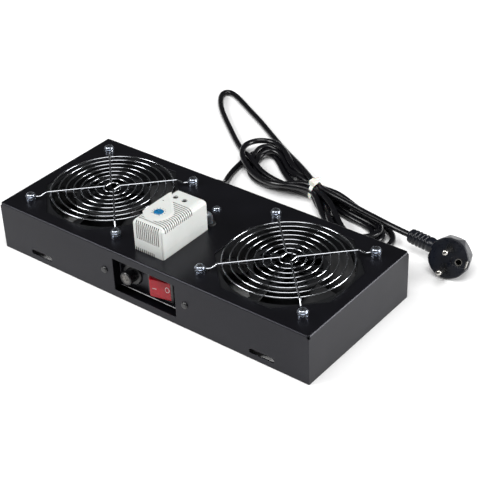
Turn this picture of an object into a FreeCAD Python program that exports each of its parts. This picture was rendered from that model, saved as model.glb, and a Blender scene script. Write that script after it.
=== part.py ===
"""Rack fan tray: two 120 mm mains fans, a thermostat, a switch and a fuse in a folded steel tray.

Millimetres.  X runs along the tray, Y from the control window to the back wall, Z up.  The origin
is on the underside, at the middle of the tray.
"""

import FreeCAD, Part

import math
import os

from FreeCAD import Placement, Rotation, Vector
import Sketcher

doc = FreeCAD.newDocument("RackFanTray")

# --------------------------------------------------------------------------------------------
# Driving dimensions
# --------------------------------------------------------------------------------------------

SIZES = [
    ("tray_width", 345, "outer length of the tray"),
    ("tray_depth", 145, "outer depth of the tray"),
    ("tray_height", 48, "underside to top plate"),
    ("sheet_metal", 1.2, "thickness of the steel sheet"),
    ("bend", 1.6, "outer radius of a folded edge"),
    ("corner_notch", 1.3, "radius of the relief hole where three folds meet"),
    ("fan_pitch", 200, "between the two fan axes"),
    ("fan_size", 120, "side of the fan frame"),
    ("fan_depth", 38, "height of the fan frame"),
    ("fan_hole_pitch", 105, "side of the square of fan screws"),
    ("fan_bore", 115, "bore of the fan frame"),
    ("fan_flange", 5, "thickness of the fan's end flanges"),
    ("opening_inradius", 60, "octagonal opening, centre to flat"),
    ("screw_hole", 4.5, "clearance hole for the fan screws"),
    ("hub_radius", 34, "outside of the impeller hub"),
    ("hub_wall", 2, "wall of the impeller hub"),
    ("blade_tip", 56, "radius of the blade tips"),
    ("blade_count", 5, "blades on each impeller"),
    ("blade_top", 43.6, "leading edges, above the underside"),
    ("blade_bottom", 17, "trailing edges, above the underside"),
    ("shaft_radius", 2.5, "fan shaft"),
    ("bearing_radius", 6.5, "outside of the fan bearings"),
    ("bearing_width", 5, "width of one fan bearing"),
    ("ring_wire", 0.75, "radius of the wire of the guard rings"),
    ("spoke_wire", 0.9, "radius of the wire of the guard spokes"),
    ("ring_count", 8, "rings in a finger guard"),
    ("ring_step", 6.85, "between one ring and the next"),
    ("ring_inner", 8, "radius of the innermost ring"),
    ("ring_lift", 4.5, "top plate to the middle of the ring wire"),
    ("washer", 1.3, "thickness of the washers under the guards"),
    ("washer_radius", 4.6, "washers under the guards"),
    ("window_width", 70, "control window in the front wall"),
    ("window_bottom", 7, "underside to the window's lower edge"),
    ("window_rise", 33, "height of the window"),
    ("panel_recess", 10, "front face to the face of the control bracket"),
    ("panel_bottom", 6.5, "lower edge of the control bracket"),
    ("panel_rise", 34, "height of the control bracket"),
    ("ear_reach", 53, "middle to the end of a bracket ear"),
    ("bracket_screw_pitch", 91, "between the two dome head screws"),
    ("bracket_screw_level", 24.5, "height of the dome head screws"),
    ("slot_length", 25.5, "wiring slots, end to end"),
    ("slot_rise", 4.8, "height of a wiring slot"),
    ("slot_pitch", 250.3, "between the wiring slots, middle to middle"),
    ("slot_level", 7.9, "middle height of the wiring slots"),
    ("gland_across", -63, "cord gland, from the middle of the tray"),
    ("gland_level", 22, "cord gland, above the underside"),
    ("thermostat_across", -4.3, "middle of the thermostat"),
    ("thermostat_along", -28.3, "middle of the thermostat"),
    ("thermostat_width", 33, "thermostat across its short side"),
    ("thermostat_length", 60, "thermostat along its long side"),
    ("thermostat_base_rise", 7, "height of the thermostat base"),
    ("thermostat_rise", 31, "height of the thermostat case"),
    ("thermostat_wall", 1.6, "wall of the thermostat case"),
    ("dial_across", -7.6, "middle of the thermostat dial"),
    ("dial_along", -38.6, "middle of the thermostat dial"),
    ("dial_radius", 4.2, "thermostat dial"),
    ("label_radius", 10.8, "raised dial field, half its width at the top"),
    ("label_foot", 13.4, "raised dial field, half its width at the foot"),
    ("label_rise", 0.7, "height of the raised dial field"),
    ("side_slot_pitch", 2.45, "between the long vent slots"),
    ("side_slot_count", 15, "long vent slots"),
    ("end_slot_pitch", 2.2, "between the end vent slots"),
    ("end_slot_count", 12, "end vent slots"),
    ("vent_slot", 1.1, "width of a vent slot"),
    ("rocker_across", 11.2, "pivot of the rocker"),
    ("rocker_level", 22.4, "middle height of the rocker"),
    ("rocker_radius", 12.2, "pivot to the ends of the rocker"),
    ("rocker_rise", 18, "height of the rocker"),
    ("rocker_tilt", 12.5, "lean of the rocker either way, in degrees"),
    ("pivot_depth", 3, "panel face to the rocker pivot"),
    ("rocker_face", 6.6, "pivot to the face of the rocker"),
    ("bezel_width", 28.6, "switch bezel, across"),
    ("bezel_rise", 22, "switch bezel, upright"),
    ("bezel_lift", 1.6, "switch bezel in front of the panel"),
    ("fuse_across", -21, "fuse holder, from the middle of the tray"),
    ("fuse_level", 24, "fuse holder, above the underside"),
    ("fuse_flange", 10.2, "radius of the fuse holder's flange"),
    ("fuse_barrel", 7.8, "radius of the fuse holder's barrel"),
    ("cap_radius", 6.2, "fuse cap"),
    ("block_across", -2.2, "terminal block"),
    ("block_along", 30.7, "terminal block"),
    ("gland_sleeve", 22, "back face to the end of the gland's sleeve"),
    ("cord_radius", 2.9, "mains cord"),
    ("tie_radius", 8.6, "inside of the cable tie"),
    ("tie_thickness", 1.2, "strap of the cable tie"),
    ("tie_width", 3.6, "strap of the cable tie"),
    ("plug_across", 184.2, "middle of the plug's face"),
    ("plug_along", 118.8, "middle of the plug's face"),
    ("plug_level", 18.9, "middle of the plug's face"),
    ("plug_turn", 11.3, "first turn of the plug, about the upright, in degrees"),
    ("plug_lean", 70.2, "second turn of the plug, about its side, in degrees"),
    ("plug_roll", 7.9, "third turn of the plug, about its pins, in degrees"),
    ("plug_radius", 18.5, "face of the plug"),
    ("plug_rim", 14, "depth of the plug's straight side wall"),
    ("plug_flat", 1.4, "how far the flats cut into the round side wall"),
    ("earth_reach", 10, "plug's axis to its earth socket"),
    ("plug_depth", 25, "plug, face to back"),
    ("plug_back", 9.5, "back of the plug"),
    ("relief_depth", 15.5, "plug's face to where the cord's line meets its axis"),
    ("relief_reach", 46, "plug's axis to the end of its strain relief"),
    ("relief_tilt", 12.1, "lean of the strain relief, in degrees"),
    ("relief_radius", 6.4, "strain relief at the plug's axis"),
    ("relief_taper", 2.2, "taper of the strain relief, in degrees"),
    ("plug_pin_pitch", 19, "between the two plug pins"),
    ("plug_pin_radius", 2.4, "plug pins"),
    ("plug_pin_length", 19, "plug pins"),
]

sheet = doc.addObject("Spreadsheet::Sheet", "Sizes")
for row, (alias, value, meaning) in enumerate(SIZES, start=1):
    sheet.set("A%d" % row, meaning)
    sheet.set("B%d" % row, str(value))
    sheet.setAlias("B%d" % row, alias)
doc.recompute()


class Size:
    """A length that carries its spreadsheet formula together with its present value."""

    def __init__(self, formula, value):
        self.formula = formula
        self.value = float(value)

    def join(self, sign, other, value):
        other_formula = other.formula if isinstance(other, Size) else repr(other)
        return Size("(%s %s %s)" % (self.formula, sign, other_formula), value)

    def __add__(self, other):
        return self.join("+", other, self.value + number(other))

    def __sub__(self, other):
        return self.join("-", other, self.value - number(other))

    def __mul__(self, other):
        return self.join("*", other, self.value * number(other))

    def __truediv__(self, other):
        return self.join("/", other, self.value / number(other))

    def __rmul__(self, factor):
        return self * factor

    def __neg__(self):
        return Size("(0 - %s)" % self.formula, -self.value)


def number(length):
    """The present value of a length, whether it is a Size or a plain number."""
    return length.value if isinstance(length, Size) else float(length)


def formula(length):
    """The text that setExpression takes for a length."""
    return length.formula if isinstance(length, Size) else repr(float(length))


class Sizes:
    """Every cell of the sheet, as an attribute of its own name."""


S = Sizes()
for alias, value, meaning in SIZES:
    setattr(S, alias, Size("Sizes.%s" % alias, value))

PARTS = []


def node(piece, label):
    """Names a finished sub-part and puts it on the list that is checked and written."""
    piece.Label = label
    PARTS.append(piece)
    return piece


def bind(piece, prop, length):
    """Ties one property of an object to the sheet."""
    piece.setExpression(prop, formula(length))


def move(piece, across=0, along=0, up=0):
    """Binds an object's position to the sheet."""
    bind(piece, "Placement.Base.x", across)
    bind(piece, "Placement.Base.y", along)
    bind(piece, "Placement.Base.z", up)


# --------------------------------------------------------------------------------------------
# Sketches and Part Design features
# --------------------------------------------------------------------------------------------


def new_body(label):
    return node(doc.addObject("PartDesign::Body", label), label)


def new_sketch(body, plane, level=0):
    """A sketch on one of the body's own origin planes, lifted along that plane's normal."""
    support = [f for f in body.Origin.OriginFeatures if f.Role == plane][0]
    sketch = body.newObject("Sketcher::SketchObject", "Sketch")
    sketch.AttachmentSupport = (support, [""])
    sketch.MapMode = "FlatFace"
    bind(sketch, "AttachmentOffset.Base.z", level)
    return sketch


def pin_point(sketch, geometry, point, u, v):
    """Places one sketch point by two dimensions from the sketch's origin."""
    for kind, length in (("DistanceX", u), ("DistanceY", v)):
        index = sketch.addConstraint(Sketcher.Constraint(kind, -1, 1, geometry, point, number(length)))
        bind(sketch, "Constraints[%d]" % index, length)


def circle(sketch, u, v, radius):
    spot = Vector(number(u), number(v), 0)
    index = sketch.addGeometry(Part.Circle(spot, Vector(0, 0, 1), number(radius)))
    pin_point(sketch, index, 3, u, v)
    constraint = sketch.addConstraint(Sketcher.Constraint("Radius", index, number(radius)))
    bind(sketch, "Constraints[%d]" % constraint, radius)


def outline(sketch, corners):
    """A closed outline of straight sides through the given corners."""
    spots = [Vector(number(u), number(v), 0) for u, v in corners]
    sides = []
    for here, there in zip(spots, spots[1:] + spots[:1]):
        sides.append(sketch.addGeometry(Part.LineSegment(here, there)))
    for side, following in zip(sides, sides[1:] + sides[:1]):
        sketch.addConstraint(Sketcher.Constraint("Coincident", side, 2, following, 1))
    for side, (u, v) in zip(sides, corners):
        pin_point(sketch, side, 1, u, v)


def rectangle(sketch, u, v, width, height):
    """A rectangle about its middle."""
    left = u - width / 2
    right = u + width / 2
    bottom = v - height / 2
    top = v + height / 2
    outline(sketch, [(left, bottom), (right, bottom), (right, top), (left, top)])


def polygon(sketch, u, v, inradius, sides):
    """A regular polygon with one side square to the first axis of the sketch."""
    reach = inradius / math.cos(math.pi / sides)
    corners = []
    for index in range(sides):
        angle = (2 * index + 1) * math.pi / sides
        corners.append((u + reach * math.cos(angle), v + reach * math.sin(angle)))
    outline(sketch, corners)


def near_end(sketch, geometry, spot):
    """Number of the end, 1 or 2, of a sketch line or arc that lies nearer to a spot."""
    gaps = [(sketch.getPoint(geometry, end) - spot).Length for end in (1, 2)]
    return 1 if gaps[0] < gaps[1] else 2


def curved_strip(sketch, start, end, bulge, thickness):
    """A strip bowed to one side: two arcs of about one centre, closed by a short line at each end."""
    first = Vector(number(start[0]), number(start[1]), 0)
    last = Vector(number(end[0]), number(end[1]), 0)
    square = Vector(first.y - last.y, last.x - first.x, 0).normalize()
    edge = square * 0.5
    crown = (first + last) * 0.5 + square * bulge
    half = square * (thickness / 2)
    above = [first + edge, crown + half, last + edge]
    below = [last - edge, crown - half, first - edge]
    upper = sketch.addGeometry(Part.Arc(*above))
    lower = sketch.addGeometry(Part.Arc(*below))
    trailing = sketch.addGeometry(Part.LineSegment(above[2], below[0]))
    leading = sketch.addGeometry(Part.LineSegment(below[2], above[0]))
    for line, point, arc, spot in ((trailing, 1, upper, above[2]), (trailing, 2, lower, below[0]),
                                   (leading, 1, lower, below[2]), (leading, 2, upper, above[0])):
        sketch.addConstraint(Sketcher.Constraint("Coincident", line, point, arc, near_end(sketch, arc, spot)))
    for line, near, far in ((trailing, above[2], below[0]), (leading, below[2], above[0])):
        middle = end if line == trailing else start
        pin_point(sketch, line, 1, middle[0] + (near.x - number(middle[0])), middle[1] + (near.y - number(middle[1])))
        pin_point(sketch, line, 2, middle[0] + (far.x - number(middle[0])), middle[1] + (far.y - number(middle[1])))
    for arc in (upper, lower):
        sketch.addConstraint(Sketcher.Constraint("Radius", arc, sketch.Geometry[arc].Radius))


def pad(body, plane, level, length, draw, name="Pad"):
    """Adds material from a level along the plane's normal."""
    sketch = new_sketch(body, plane, level)
    draw(sketch)
    feature = body.newObject("PartDesign::Pad", name)
    feature.Profile = sketch
    bind(feature, "Length", length)
    doc.recompute()
    return feature


def pocket(body, plane, level, length, draw, name="Pocket"):
    """Cuts from a level along the plane's normal, and makes sure that it cut something."""
    before = body.Shape.Volume
    sketch = new_sketch(body, plane, level)
    draw(sketch)
    feature = body.newObject("PartDesign::Pocket", name)
    feature.Profile = sketch
    feature.Reversed = True
    bind(feature, "Length", length)
    doc.recompute()
    if not body.Shape.Volume < before - 1e-6:
        raise RuntimeError("%s: %s cuts nothing" % (body.Label, name))
    return feature


def turned(body, plane, level, axis, profile):
    """A revolution about a line that stands up in the sketch at a distance from its origin.

    The profile is a list of (radius, place along the axis).
    """
    sketch = new_sketch(body, plane, level)
    line = Part.LineSegment(Vector(number(axis), 0, 0), Vector(number(axis), 10, 0))
    centre = sketch.addGeometry(line, True)
    pin_point(sketch, centre, 1, axis, MIDDLE)
    sketch.addConstraint(Sketcher.Constraint("Vertical", centre))
    sketch.addConstraint(Sketcher.Constraint("Distance", centre, 10))
    outline(sketch, [(axis + radius, place) for radius, place in profile])
    feature = body.newObject("PartDesign::Revolution", "Turned")
    feature.Profile = sketch
    feature.ReferenceAxis = (sketch, ["Axis0"])
    feature.Angle = 360
    doc.recompute()
    return feature


def origin_feature(body, role):
    return [f for f in body.Origin.OriginFeatures if f.Role == role][0]


def mirrored(body, features, plane):
    pattern = body.newObject("PartDesign::Mirrored", "Mirrored")
    pattern.Originals = features
    pattern.MirrorPlane = (origin_feature(body, plane), [""])
    body.Tip = pattern
    doc.recompute()
    return pattern


def around(body, features, count, axis="Z_Axis"):
    pattern = body.newObject("PartDesign::PolarPattern", "Around")
    pattern.Originals = features
    pattern.Axis = (origin_feature(body, axis), [""])
    pattern.Angle = 360
    bind(pattern, "Occurrences", count)
    body.Tip = pattern
    doc.recompute()
    return pattern


def along(body, features, axis, step, count):
    """Repeats features in a row along one of the body's axes."""
    pattern = body.newObject("PartDesign::LinearPattern", "Along")
    pattern.Originals = features
    pattern.Direction = (origin_feature(body, axis), [""])
    pattern.Mode = "Spacing"
    bind(pattern, "Offset", step)
    bind(pattern, "Occurrences", count)
    body.Tip = pattern
    doc.recompute()
    return pattern


def edges_where(body, test):
    """Names of the edges of the body's present shape that pass a test."""
    names = []
    for index, edge in enumerate(body.Shape.Edges, start=1):
        if test(edge):
            names.append("Edge%d" % index)
    return names


def dress(body, kind, test, size):
    """A fillet or a chamfer on every edge that passes the test."""
    names = edges_where(body, test)
    if not names:
        raise RuntimeError("%s: no edge to %s" % (body.Label, kind))
    base = body.Tip
    feature = body.newObject("PartDesign::%s" % kind, kind)
    feature.Base = (base, names)
    bind(feature, "Radius" if kind == "Fillet" else "Size", size)
    body.Tip = feature
    doc.recompute()
    return feature


def span(edge):
    return edge.BoundBox


def lies_at(edge, axis, value, reach=0.01):
    """True for an edge that lies wholly in one plane square to an axis."""
    box = span(edge)
    low = getattr(box, axis + "Min")
    high = getattr(box, axis + "Max")
    return abs(low - value) < reach and abs(high - value) < reach


def is_upright(edge):
    box = span(edge)
    return box.XLength < 0.01 and box.YLength < 0.01 and box.ZLength > 0.5


def stands_at(edge, across, depth):
    """True for an upright edge at plus or minus a distance across, at a place along Y."""
    box = span(edge)
    at_side = abs(abs(box.XMin) - number(across)) < 0.01
    return is_upright(edge) and at_side and abs(box.YMin - number(depth)) < 0.01


# --------------------------------------------------------------------------------------------
# Round wires and cords
# --------------------------------------------------------------------------------------------


def bent_path(points, bend=None):
    """Straight runs joined by tangent arcs.

    Without a bend radius each arc is as large as its two runs allow.
    """
    points = [Vector(*spot) for spot in points]
    edges = []
    radii = []
    here = points[0]
    for before, corner, after in zip(points, points[1:], points[2:]):
        inward = (corner - before).normalize()
        outward = (after - corner).normalize()
        half_turn = inward.getAngle(outward) / 2
        shorter = min((corner - before).Length, (after - corner).Length)
        radius = bend if bend else 0.45 * shorter / math.tan(half_turn)
        cut_back = radius * math.tan(half_turn)
        start = corner - inward * cut_back
        end = corner + outward * cut_back
        bisector = (outward - inward).normalize()
        centre = corner + bisector * (radius / math.cos(half_turn))
        middle = centre - bisector * radius
        edges.append(Part.LineSegment(here, start).toShape())
        edges.append(Part.Arc(start, middle, end).toShape())
        radii.append(radius)
        here = end
    edges.append(Part.LineSegment(here, points[-1]).toShape())
    return Part.Wire(edges), radii


def tube(points, radius, bend=None):
    """A solid round bar along a bent path, with its bend radii."""
    path, radii = bent_path(points, bend)
    start = Vector(*points[0])
    heading = Vector(*points[1]) - start
    section = Part.Wire([Part.makeCircle(radius, start, heading)])
    solid = path.makePipeShell([section], True, False)
    expected = math.pi * radius ** 2 * path.Length
    if abs(solid.Volume - expected) > 0.01 * expected:
        raise RuntimeError("tube volume %.0f is not %.0f" % (solid.Volume, expected))
    return solid, radii, path.Length


def shape_node(label, shape, placement=None):
    """A sub-part whose shape is made by Part's own functions."""
    feature = doc.addObject("Part::Feature", label)
    feature.Shape = shape
    if placement:
        feature.Placement = placement
    return node(feature, label)


# --------------------------------------------------------------------------------------------
# Places worked out from the driving dimensions
# --------------------------------------------------------------------------------------------

MIDDLE = S.tray_width * 0
PLATE_UNDER = S.tray_height - S.sheet_metal
FRONT = -S.tray_depth / 2
BACK = S.tray_depth / 2
FRONT_INSIDE = FRONT + S.sheet_metal
BACK_INSIDE = BACK - S.sheet_metal
PANEL_FACE = FRONT + S.panel_recess
PANEL_REAR = PANEL_FACE + S.sheet_metal
FAN_BOTTOM = PLATE_UNDER - S.fan_depth
THERMOSTAT_TOP = S.tray_height + S.thermostat_rise
CASE_FOOT = S.tray_height + S.thermostat_base_rise
CASE_CEILING = THERMOSTAT_TOP - S.thermostat_wall
THERMOSTAT_BACK = S.thermostat_along + S.thermostat_length / 2
THERMOSTAT_FRONT = S.thermostat_along - S.thermostat_length / 2
THERMOSTAT_LEFT = S.thermostat_across - S.thermostat_width / 2
THERMOSTAT_RIGHT = S.thermostat_across + S.thermostat_width / 2
THERMOSTAT_SCREWS = [S.thermostat_along - 24, S.thermostat_along + 24]
TERMINAL_SPOTS = [S.thermostat_across - 7.7, S.thermostat_across + 2.4]
TERMINAL_ALONG = S.thermostat_along + 17
GROMMET_ACROSS = S.thermostat_across + 11.8
GROMMET_ALONG = THERMOSTAT_BACK + 8
GROMMET_NECK = S.sheet_metal * 3.5
SMALL_SCREW = S.sheet_metal * 1.25
GLAND_NECK = S.cord_radius * 2
PIVOT_ALONG = PANEL_FACE + S.pivot_depth
HUB_TOP = PLATE_UNDER - 2
HUB_CEILING = HUB_TOP - S.hub_wall

# --------------------------------------------------------------------------------------------
# Tray
# --------------------------------------------------------------------------------------------


def fan_screw_spots(sketch, radius):
    for side in (-1, 1):
        for u in (-1, 1):
            for v in (-1, 1):
                across = S.fan_pitch / 2 * side + S.fan_hole_pitch / 2 * u
                circle(sketch, across, S.fan_hole_pitch / 2 * v, radius)


def make_tray_shell():
    """Five-sided folded tray: four walls and a top plate, open underneath."""
    body = new_body("tray_shell")

    def footprint(sketch):
        rectangle(sketch, MIDDLE, MIDDLE, S.tray_width, S.tray_depth)

    def inside(sketch):
        width = S.tray_width - S.sheet_metal * 2
        rectangle(sketch, MIDDLE, MIDDLE, width, S.tray_depth - S.sheet_metal * 2)

    def fan_openings(sketch):
        for side in (-1, 1):
            polygon(sketch, S.fan_pitch / 2 * side, MIDDLE, S.opening_inradius, 8)

    def corner_notches(sketch):
        for side in (-1, 1):
            for end in (-1, 1):
                across = (S.tray_width / 2 - 0.5) * side
                circle(sketch, across, (S.tray_depth / 2 - 0.5) * end, S.corner_notch)

    def plate_holes(sketch):
        fan_screw_spots(sketch, S.screw_hole / 2)
        circle(sketch, S.block_across, S.block_along, SMALL_SCREW + 0.2)
        circle(sketch, GROMMET_ACROSS, GROMMET_ALONG, GROMMET_NECK)
        for spot in THERMOSTAT_SCREWS:
            circle(sketch, S.thermostat_across, spot, SMALL_SCREW + 0.2)

    def window(sketch):
        level = S.window_bottom + S.window_rise / 2
        rectangle(sketch, MIDDLE, level, S.window_width, S.window_rise)

    def bracket_holes(sketch):
        for side in (-1, 1):
            circle(sketch, S.bracket_screw_pitch / 2 * side, S.bracket_screw_level, S.screw_hole / 2)

    straight = S.slot_length - S.slot_rise

    def slots(sketch):
        for side in (-1, 1):
            rectangle(sketch, S.slot_pitch / 2 * side, S.slot_level, straight, S.slot_rise)

    def slot_ends(sketch):
        for side in (-1, 1):
            for end in (-1, 1):
                across = S.slot_pitch / 2 * side + straight / 2 * end
                circle(sketch, across, S.slot_level, S.slot_rise / 2)

    def gland_hole(sketch):
        circle(sketch, S.gland_across, S.gland_level, GLAND_NECK)

    pad(body, "XY_Plane", MIDDLE, S.tray_height, footprint)
    top = number(S.tray_height)
    dress(body, "Fillet", lambda edge: lies_at(edge, "Z", top), S.bend)
    pocket(body, "XY_Plane", MIDDLE, PLATE_UNDER, inside)
    pocket(body, "XY_Plane", PLATE_UNDER - 1, S.sheet_metal + 2, fan_openings)
    pocket(body, "XY_Plane", PLATE_UNDER - 2, S.sheet_metal + 4, corner_notches)
    pocket(body, "XY_Plane", PLATE_UNDER - 1, S.sheet_metal + 2, plate_holes)
    wall = S.sheet_metal + 2
    front_level = -FRONT_INSIDE - 1
    pocket(body, "XZ_Plane", front_level, wall, window)
    pocket(body, "XZ_Plane", front_level, wall, bracket_holes)
    back_level = -BACK - 1
    pocket(body, "XZ_Plane", back_level, wall, gland_hole)
    pocket(body, "XZ_Plane", back_level, S.tray_depth + 2, slots)
    pocket(body, "XZ_Plane", back_level, S.tray_depth + 2, slot_ends)


def make_control_bracket():
    """Hat-shaped bracket behind the window, open above and below."""
    body = new_body("control_bracket")
    inner = S.window_width / 2 + 1
    outer = inner + S.sheet_metal
    ear = S.ear_reach
    ear_rear = FRONT_INSIDE + S.sheet_metal

    def plan(sketch):
        front = [(-ear, FRONT_INSIDE), (-inner, FRONT_INSIDE), (-inner, PANEL_FACE)]
        front += [(inner, PANEL_FACE), (inner, FRONT_INSIDE), (ear, FRONT_INSIDE)]
        rear = [(ear, ear_rear), (outer, ear_rear), (outer, PANEL_REAR)]
        rear += [(-outer, PANEL_REAR), (-outer, ear_rear), (-ear, ear_rear)]
        outline(sketch, front + rear)

    def panel_holes(sketch):
        circle(sketch, S.fuse_across, S.fuse_level, S.fuse_barrel + 0.15)
        width = S.rocker_radius * 2 + 2
        rectangle(sketch, S.rocker_across, S.rocker_level, width, S.rocker_rise + 2.4)

    def ear_holes(sketch):
        for side in (-1, 1):
            circle(sketch, S.bracket_screw_pitch / 2 * side, S.bracket_screw_level, S.screw_hole / 2)

    pad(body, "XY_Plane", S.panel_bottom, S.panel_rise, plan)
    dress(body, "Fillet", lambda edge: stands_at(edge, inner, PANEL_FACE), S.sheet_metal * 0.5)
    dress(body, "Fillet", lambda edge: stands_at(edge, outer, PANEL_REAR), S.sheet_metal * 1.5)
    pocket(body, "XZ_Plane", -PANEL_REAR - 1, S.sheet_metal + 2, panel_holes)
    pocket(body, "XZ_Plane", -ear_rear - 1, S.sheet_metal + 2, ear_holes)


def make_bracket_fasteners():
    """Two dome head screws through the front wall, with a hexagon nut on each."""
    screws = new_body("bracket_screws")
    shank = S.screw_hole / 2 - 0.25
    head = shank + 1.3
    crown = FRONT - 1.6
    axis = S.bracket_screw_pitch / 2
    tip = FRONT_INSIDE + 7
    profile = [(MIDDLE, crown), (head, crown), (head, FRONT), (shank, FRONT)]
    profile += [(shank, tip), (MIDDLE, tip)]
    turned(screws, "XY_Plane", S.bracket_screw_level, axis, profile)
    dress(screws, "Fillet", lambda edge: lies_at(edge, "Y", number(crown)), 1.5)
    mirrored(screws, [screws.Group[1], screws.Tip], "YZ_Plane")

    nuts = new_body("bracket_nuts")
    rear = FRONT_INSIDE + S.sheet_metal + 3.2

    def nut(sketch):
        polygon(sketch, axis, S.bracket_screw_level, 3.5, 6)
        circle(sketch, axis, S.bracket_screw_level, shank + 0.05)

    block = pad(nuts, "XZ_Plane", -rear, 3.2, nut)
    mirrored(nuts, [block], "YZ_Plane")


# --------------------------------------------------------------------------------------------
# Fans
# --------------------------------------------------------------------------------------------


def make_fan_frame(side, across):
    """Square flanges, a round barrel, four struts and the bearing tube, cast in one."""
    body = new_body("fan_%s_frame" % side)
    barrel = S.fan_size / 2 - 0.2
    base_plate = 3

    def flange(sketch):
        rectangle(sketch, MIDDLE, MIDDLE, S.fan_size, S.fan_size)

    def bore(sketch):
        circle(sketch, MIDDLE, MIDDLE, S.fan_bore / 2)

    def screw_holes(sketch):
        for u in (-1, 1):
            for v in (-1, 1):
                circle(sketch, S.fan_hole_pitch / 2 * u, S.fan_hole_pitch / 2 * v, S.screw_hole / 2)

    def struts(sketch):
        rectangle(sketch, MIDDLE, MIDDLE, S.fan_bore + 1.6, MIDDLE + 7)

    pad(body, "XY_Plane", FAN_BOTTOM, S.fan_flange, flange)
    pad(body, "XY_Plane", PLATE_UNDER - S.fan_flange, S.fan_flange, flange)
    corner = number(S.fan_size / 2)
    dress(body, "Fillet", lambda edge: is_upright(edge) and span(edge).XMax > -corner - 1, S.fan_flange)
    pad(body, "XY_Plane", FAN_BOTTOM, S.fan_depth, lambda sketch: circle(sketch, MIDDLE, MIDDLE, barrel))
    pocket(body, "XY_Plane", FAN_BOTTOM - 1, S.fan_depth + 2, bore)
    pocket(body, "XY_Plane", FAN_BOTTOM - 1, S.fan_depth + 2, screw_holes)
    strut = pad(body, "XY_Plane", FAN_BOTTOM, base_plate, struts)
    around(body, [strut], 4)
    pad(body, "XY_Plane", FAN_BOTTOM, base_plate, lambda sketch: circle(sketch, MIDDLE, MIDDLE, 31))
    tube_top = FAN_BOTTOM + 27.5

    def bearing_tube(sketch):
        circle(sketch, MIDDLE, MIDDLE, S.bearing_radius + 2.5)
        circle(sketch, MIDDLE, MIDDLE, S.bearing_radius)

    pad(body, "XY_Plane", FAN_BOTTOM + base_plate, tube_top - FAN_BOTTOM - base_plate, bearing_tube)
    move(body, across)


def make_fan_inside(side, across):
    """Stator, two ball bearings and the shaft that turns in them."""
    stator = new_body("fan_%s_stator" % side)

    def windings(sketch):
        circle(sketch, MIDDLE, MIDDLE, S.hub_radius - S.hub_wall - 2.5)
        circle(sketch, MIDDLE, MIDDLE, S.bearing_radius + 2.5)

    pad(stator, "XY_Plane", FAN_BOTTOM + 3, 22, windings)
    move(stator, across)

    bearings = new_body("fan_%s_bearings" % side)

    def race(sketch):
        circle(sketch, MIDDLE, MIDDLE, S.bearing_radius)
        circle(sketch, MIDDLE, MIDDLE, S.shaft_radius + 0.05)

    for level in (4.5, 22):
        pad(bearings, "XY_Plane", FAN_BOTTOM + level, S.bearing_width, race)
    move(bearings, across)

    shaft = node(doc.addObject("Part::Cylinder", "fan_%s_shaft" % side), "fan_%s_shaft" % side)
    bind(shaft, "Radius", S.shaft_radius)
    bind(shaft, "Height", HUB_CEILING - FAN_BOTTOM - 3.6)
    move(shaft, across, MIDDLE, FAN_BOTTOM + 3.6)


def make_impeller(side, across, phase):
    """Cup-shaped hub with lofted blades, trimmed to the bore."""
    body = new_body("fan_%s_impeller" % side)
    hub_foot = FAN_BOTTOM + 6.2

    pad(body, "XY_Plane", hub_foot, HUB_TOP - hub_foot, lambda s: circle(s, MIDDLE, MIDDLE, S.hub_radius))

    def section(radius, half_span, thickness):
        sketch = new_sketch(body, "YZ_Plane", radius)
        start = (MIDDLE - half_span, S.blade_bottom)
        end = (MIDDLE + half_span, S.blade_top)
        curved_strip(sketch, start, end, 3.4, thickness)
        return sketch

    root = section(S.hub_radius - 3, 10.5, 2.4)
    tip = section(S.blade_tip + 3, 20.5, 1.8)
    blade = body.newObject("PartDesign::AdditiveLoft", "Blade")
    blade.Profile = root
    blade.Sections = [tip]
    doc.recompute()
    around(body, [blade], S.blade_count)

    def beyond_tips(sketch):
        circle(sketch, MIDDLE, MIDDLE, S.blade_tip)
        circle(sketch, MIDDLE, MIDDLE, S.blade_tip + 20)

    pocket(body, "XY_Plane", FAN_BOTTOM, S.fan_depth, beyond_tips)

    def hollow(sketch):
        circle(sketch, MIDDLE, MIDDLE, S.hub_radius - S.hub_wall)
        circle(sketch, MIDDLE, MIDDLE, S.shaft_radius + 3)

    def below_boss(sketch):
        circle(sketch, MIDDLE, MIDDLE, S.shaft_radius + 3)

    pocket(body, "XY_Plane", hub_foot - 1, HUB_CEILING - hub_foot + 1, hollow)
    pocket(body, "XY_Plane", hub_foot - 1, HUB_CEILING - hub_foot - 4, below_boss)
    pocket(body, "XY_Plane", hub_foot, HUB_CEILING - hub_foot, lambda s: circle(s, MIDDLE, MIDDLE, S.shaft_radius))
    top = number(HUB_TOP)
    dress(body, "Fillet", lambda edge: lies_at(edge, "Z", top) and edge.Length > 100, 1.2)
    body.Placement = Placement(Vector(0, 0, 0), Rotation(Vector(0, 0, 1), phase))
    move(body, across)


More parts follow.
